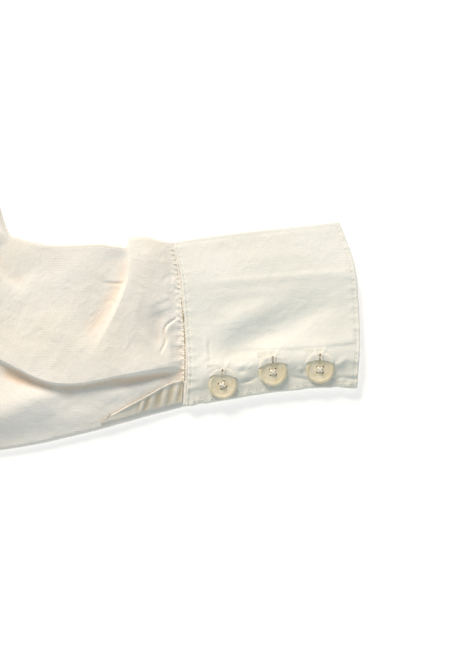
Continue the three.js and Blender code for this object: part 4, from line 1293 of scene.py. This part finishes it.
def addStitches(name, lines, values, side=1, material=None):  # rows of one kind of stitch
    points, edges = [], []
    for line in lines:
        edges += [(len(points) + k, len(points) + k + 1) for k in range(len(line) - 1)]
        points += inFrame(line, side).tolist()
    mesh = bpy.data.meshes.new(name + "Line")
    mesh.from_pydata(points, edges, [])
    guide = addObject(name + "Guide", mesh)
    modifier = guide.modifiers.new("stitches", "NODES")
    modifier.node_group = stitchRow
    given = {
        "Pitch": values["pitch"] * 0.001,
        "Stitch Length": values["length"] * 0.001,
        "Thread Width": values["width"] * 0.001,
        "Turn": values["turn"],
        "Looseness": values["loose"],
        "Thread": material or cottonThread,
    }
    for socket in stitchRow.interface.items_tree:
        if socket.name in given:
            modifier[socket.identifier] = given[socket.name]
    made = addObject(name, baked(guide))
    made.data.name = name
    bpy.data.objects.remove(guide)
    return dress(made, [])


def cuffLine(along, across, lift=0.05):
    along, across = np.broadcast_arrays(np.asarray(along, float), np.asarray(across, float))
    line = cuffTopAt(along, across)
    line[:, 2] += lift
    return onCrook(line)


topstitch = {"pitch": 2.7, "length": 1.9, "width": 0.5, "turn": 0.0, "loose": 0.12}
for side, label, _ in sleeves:
    t = np.linspace(0, 1, 160)
    length, width = cuff["measured"]
    inEnd, inSeam = 1 - cuff["stitchInset"] / length, cuff["seamInset"] / length
    inLow = cuff["lowEdge"] - cuff["stitchInset"] / width
    rows = [
        cuffLine(inEnd, mix(0.03, inLow, t)),
        cuffLine(mix(inSeam, inEnd, t), inLow),
        cuffLine(inSeam, mix(0.04, inLow, t)),
    ]
    addStitches(f"cuffTopstitch_{label}", rows, topstitch, side)
print("cuff stitches made")

# the seam of the gathers: a close row of overcast stitches, and beside it a row of dark thread as painted
# shade between the gathers

overcast = {"pitch": 2.9, "length": 2.7, "width": 0.62, "turn": 0.95, "loose": 0.3}
# the second row is dark thread laid as painted shade, standing in for the shadow between the gathers
gatherShadeRow = {"pitch": 1.75, "length": 2.1, "width": 0.75, "turn": 0.3, "loose": 0.4}
overcast.update({"place": 0.9885, "lift": 0.12})  # share of the sleeve's length, mm above its cloth
gatherShadeRow.update({"place": 0.9945, "lift": 0.04})


def seamLine(values, across, seed, sunk=0.0):
    s = np.full_like(across, values["place"])
    plan, roll, _ = sleevePlan(s, across)
    top, lean = sleeveTop(s, across, plan, roll, seed)
    return onCrook(np.column_stack([plan + lean, top + (values["lift"] - sunk)]))


for side, label, seed in sleeves:
    line = seamLine(overcast, np.linspace(0.05, 0.97, 150), seed)
    addStitches(f"gatherSeam_{label}", [line], overcast, side)
    across = np.linspace(0.26, 0.83, 120)  # it dips into the gathers here and there
    sunk = 0.4 * (1 - smooth(across, 0.3, 0.46)) - 0.3 * softNoise(across * 99, across * 0, 4.5, 91)
    line = seamLine(gatherShadeRow, across, seed, sunk)
    addStitches(f"wornSeam_{label}", [line], gatherShadeRow, side, seamShadeThread)
print("gather seam made")

# buttonholes: on the cuffs the cloth above each one lies over the top of its button

buttonhole = {
    "half": 9.6,
    "lipHalf": 7.6,
    "curve": 0.034,
    "top": 12.4,
    "slit": 0.6,
    "slitTop": 9.0,
    "cloth": 0.6,
    "alongCuff": 106,
    "columns": 65,
    "rows": 36,
}
lipStitch = {"pitch": 0.62, "length": 1.4, "width": 0.45, "turn": math.pi / 2, "loose": 0.2}
slitThread = {"pitch": 0.5, "length": 1.0, "width": 0.85, "turn": 0.0, "loose": 0.3}


def buildFlap(side, label, k, centre, slope, values):  # the cuff's cloth from the button's top upwards
    half, lipHalf = buttonhole["half"], buttonhole["lipHalf"]
    x = np.linspace(-half, half, buttonhole["columns"])[None, :] * np.ones((buttonhole["rows"], 1))
    low = values["cover"] - buttonhole["curve"] * x**2 + values["lean"] * x
    y = mix(low, buttonhole["top"], np.linspace(0, 1, buttonhole["rows"])[:, None])
    px, py = centre[0] + x, centre[1] + y
    along = values["along"] + x / buttonhole["alongCuff"]
    across = values["across"] - (y + 0.06 * x) / cuff["measured"][1]
    ground = cuffTopAt(along.ravel(), across.ravel())[:, 2].reshape(x.shape)
    discTop = centre[2] + button["thickness"] + slope * y + 0.1
    outside = np.maximum(np.hypot(x, y) - button["diameter"] / 2, 0)
    lifted = ridge(outside, 1.6) * (1 - smooth(np.abs(x), lipHalf, half))  # where it lies on the button
    level = mix(ground - 0.5, np.maximum(discTop, ground - 0.1), lifted)
    level += 0.2 * softNoise(x * 1.0, y * 0.8, 3.0, 80 + k) * lifted
    nearSlit = 1 - smooth(y, buttonhole["slitTop"] - 1, buttonhole["slitTop"] + 0.6)
    level += 0.3 * ridge(np.abs(x) - 1.1, 0.7) * nearSlit * smooth(lifted, 0.1, 0.5)
    level -= 0.7 * ridge(x, buttonhole["slit"]) * nearSlit * smooth(lifted, 0.05, 0.4)
    wall, quads, soft = softWall(np.dstack([px, py, level]), buttonhole["cloth"])
    grain = twice(soft[..., :2].reshape(-1, 2))
    name = f"buttonholeEdge_{label}_{k + 1}"
    # the flap's cloth carries an even share of painted shade, so it reads no brighter than the cuff around it
    made = addMesh(name, wall, quads, doubledPoplin, grain, side, np.full(len(wall), 0.4))
    dress(made, [])
    edges = []
    for edge, lift in ((-1.1, 0.1), (0, -0.05), (1.1, 0.1)):  # its left lip, its slit and its right lip
        column = np.abs(x[0] - edge).argmin()
        yy = np.linspace(y[0, column] + 0.2, buttonhole["slitTop"], 20)
        zz = np.interp(yy, y[:, column], level[:, column]) + buttonhole["cloth"] / 2 + lift
        edges.append(np.column_stack([np.full(20, centre[0] + edge), centre[1] + yy, zz]))
    return edges


lips = {"left": [], "right": []}
slits = {"left": [], "right": []}
for side, label, k, centre, slope, values in cuffButtonPlaces:
    leftLip, slitLine, rightLip = buildFlap(side, label, k, centre, slope, values)
    lips[label] += [leftLip, rightLip]
    slits[label].append(slitLine)
for side, label, _ in sleeves:
    addStitches(f"buttonholeThread_{label}", lips[label], lipStitch, side)
    addStitches(f"buttonholeSlit_{label}", slits[label], slitThread, side, shadedThread)
print("buttonholes made")

# stitching of the body

seamStitch = {**topstitch, "pitch": 2.9, "length": 2.0}
holeStitch = {**lipStitch, "length": 1.5, "width": 0.5}


def levelRow(x, y, lift):  # a row down the placket
    return np.column_stack([np.full_like(y, x), y, np.full_like(y, placketTop + lift)])


outer, inner = body["placketStitches"]
rows = [levelRow(inner, np.linspace(-88, -612, 260), 0.02)]
rows += [levelRow(outer, np.linspace(-84, -612, 260), 0.02)]
addStitches("placketStitch", rows, topstitch, -1)
for side, label, _ in sleeves:
    addStitches(f"frontSeams_{label}", frontSeams[label], seamStitch, side)
addStitches("bandStitch", bandSeams, topstitch)
rows = []
for centre in frontButtonPlaces:  # each buttonhole shows above and below its button
    for edge in (-1.0, 1.0):
        for low, high in ((-11.5, -8.0), (8.0, 11.5)):
            rows.append(levelRow(edge, np.linspace(centre[1] + low, centre[1] + high, 8), 0.25))
addStitches("frontButtonholes", rows, holeStitch)
print("body stitches made")

# floor, light and camera

studio = {
    "world": 0.36,
    "worldColour": (0.86, 0.96, 1.04),
    "key": 97.0,
    "keyColour": (1.0, 0.885, 0.77),
    "keyPlace": (-0.35, 2.3, 1.3),
    "keySize": 1.3,
    "fill": 20.0,
    "fillColour": (0.92, 1.0, 0.97),
    "fillPlace": (1.2, -2.4, 1.6),
    "fillSize": 1.6,
    "aim": (0.45, -0.04, 0),
    "paper": "fdf6f0",
    "paperHalf": 15,
    "floorGlow": 0.38,  # the paper is lit from below as well, so shadows on it stay faint
    "lens": 178.6,
    "height": 2.0,
    "pixel": 0.6,  # mm to a pixel of the picture
    "picture": (450, 672),
    "crookInPicture": (5.4, 139.8),  # mm from its left and its top
}


def addStage():
    made, tree = newMaterial("paleStudioFloor")
    paper = addNode(tree, "ShaderNodeBsdfDiffuse", {"Color": linear(studio["paper"])})
    glow = addNode(tree, "ShaderNodeEmission", {"Color": (1, 1, 1, 1), "Strength": studio["floorGlow"]})
    both = addNode(tree, "ShaderNodeAddShader")
    tree.links.new(paper.outputs["BSDF"], both.inputs[0])
    tree.links.new(glow.outputs["Emission"], both.inputs[1])
    addNode(tree, "ShaderNodeOutputMaterial", Surface=both.outputs["Shader"])
    mesh = bpy.data.meshes.new("studioFloor")
    far, low = studio["paperHalf"], -0.0004
    corners = [(-far, -far, low), (far, -far, low), (far, far, low), (-far, far, low)]
    mesh.from_pydata(corners, [], [(0, 1, 2, 3)])
    mesh.materials.append(made)
    addObject("studioFloor", mesh)


def addLight(name, place, size, energy, colour):
    data = bpy.data.lights.new(name, "AREA")
    data.shape, data.size, data.energy, data.color = "DISK", size, energy, colour
    lamp = addObject(name, data)
    lamp.location = place
    lamp.rotation_euler = (Vector(studio["aim"]) - Vector(place)).to_track_quat("-Z", "Y").to_euler()


addStage()
addLight("warmWindow", studio["keyPlace"], studio["keySize"], studio["key"], studio["keyColour"])
addLight("coolReturn", studio["fillPlace"], studio["fillSize"], studio["fill"], studio["fillColour"])
world = bpy.data.worlds.new("studioWorld")
scene.world = world
world.use_nodes = True
background = world.node_tree.nodes["Background"]
background.inputs["Color"].default_value = (*studio["worldColour"], 1)
background.inputs["Strength"].default_value = studio["world"]
scene.view_settings.view_transform = "Standard"
scene.view_settings.look = "None"

cameraData = bpy.data.cameras.new("camera")
cameraData.sensor_width, cameraData.lens = 36.0, studio["lens"]
camera = addObject("camera", cameraData)
halfWide, halfHigh = (studio["pixel"] * side / 2 for side in studio["picture"])
fromLeft, fromTop = studio["crookInPicture"]
frameX = (draft["crook"][0] + halfWide - fromLeft) * 0.001
frameY = (draft["crook"][1] + draft["shiftY"] + fromTop - halfHigh) * 0.001
camera.location = (frameX, frameY, studio["height"])
camera.rotation_euler = (0, 0, 0)
scene.camera = camera
print("studio made")
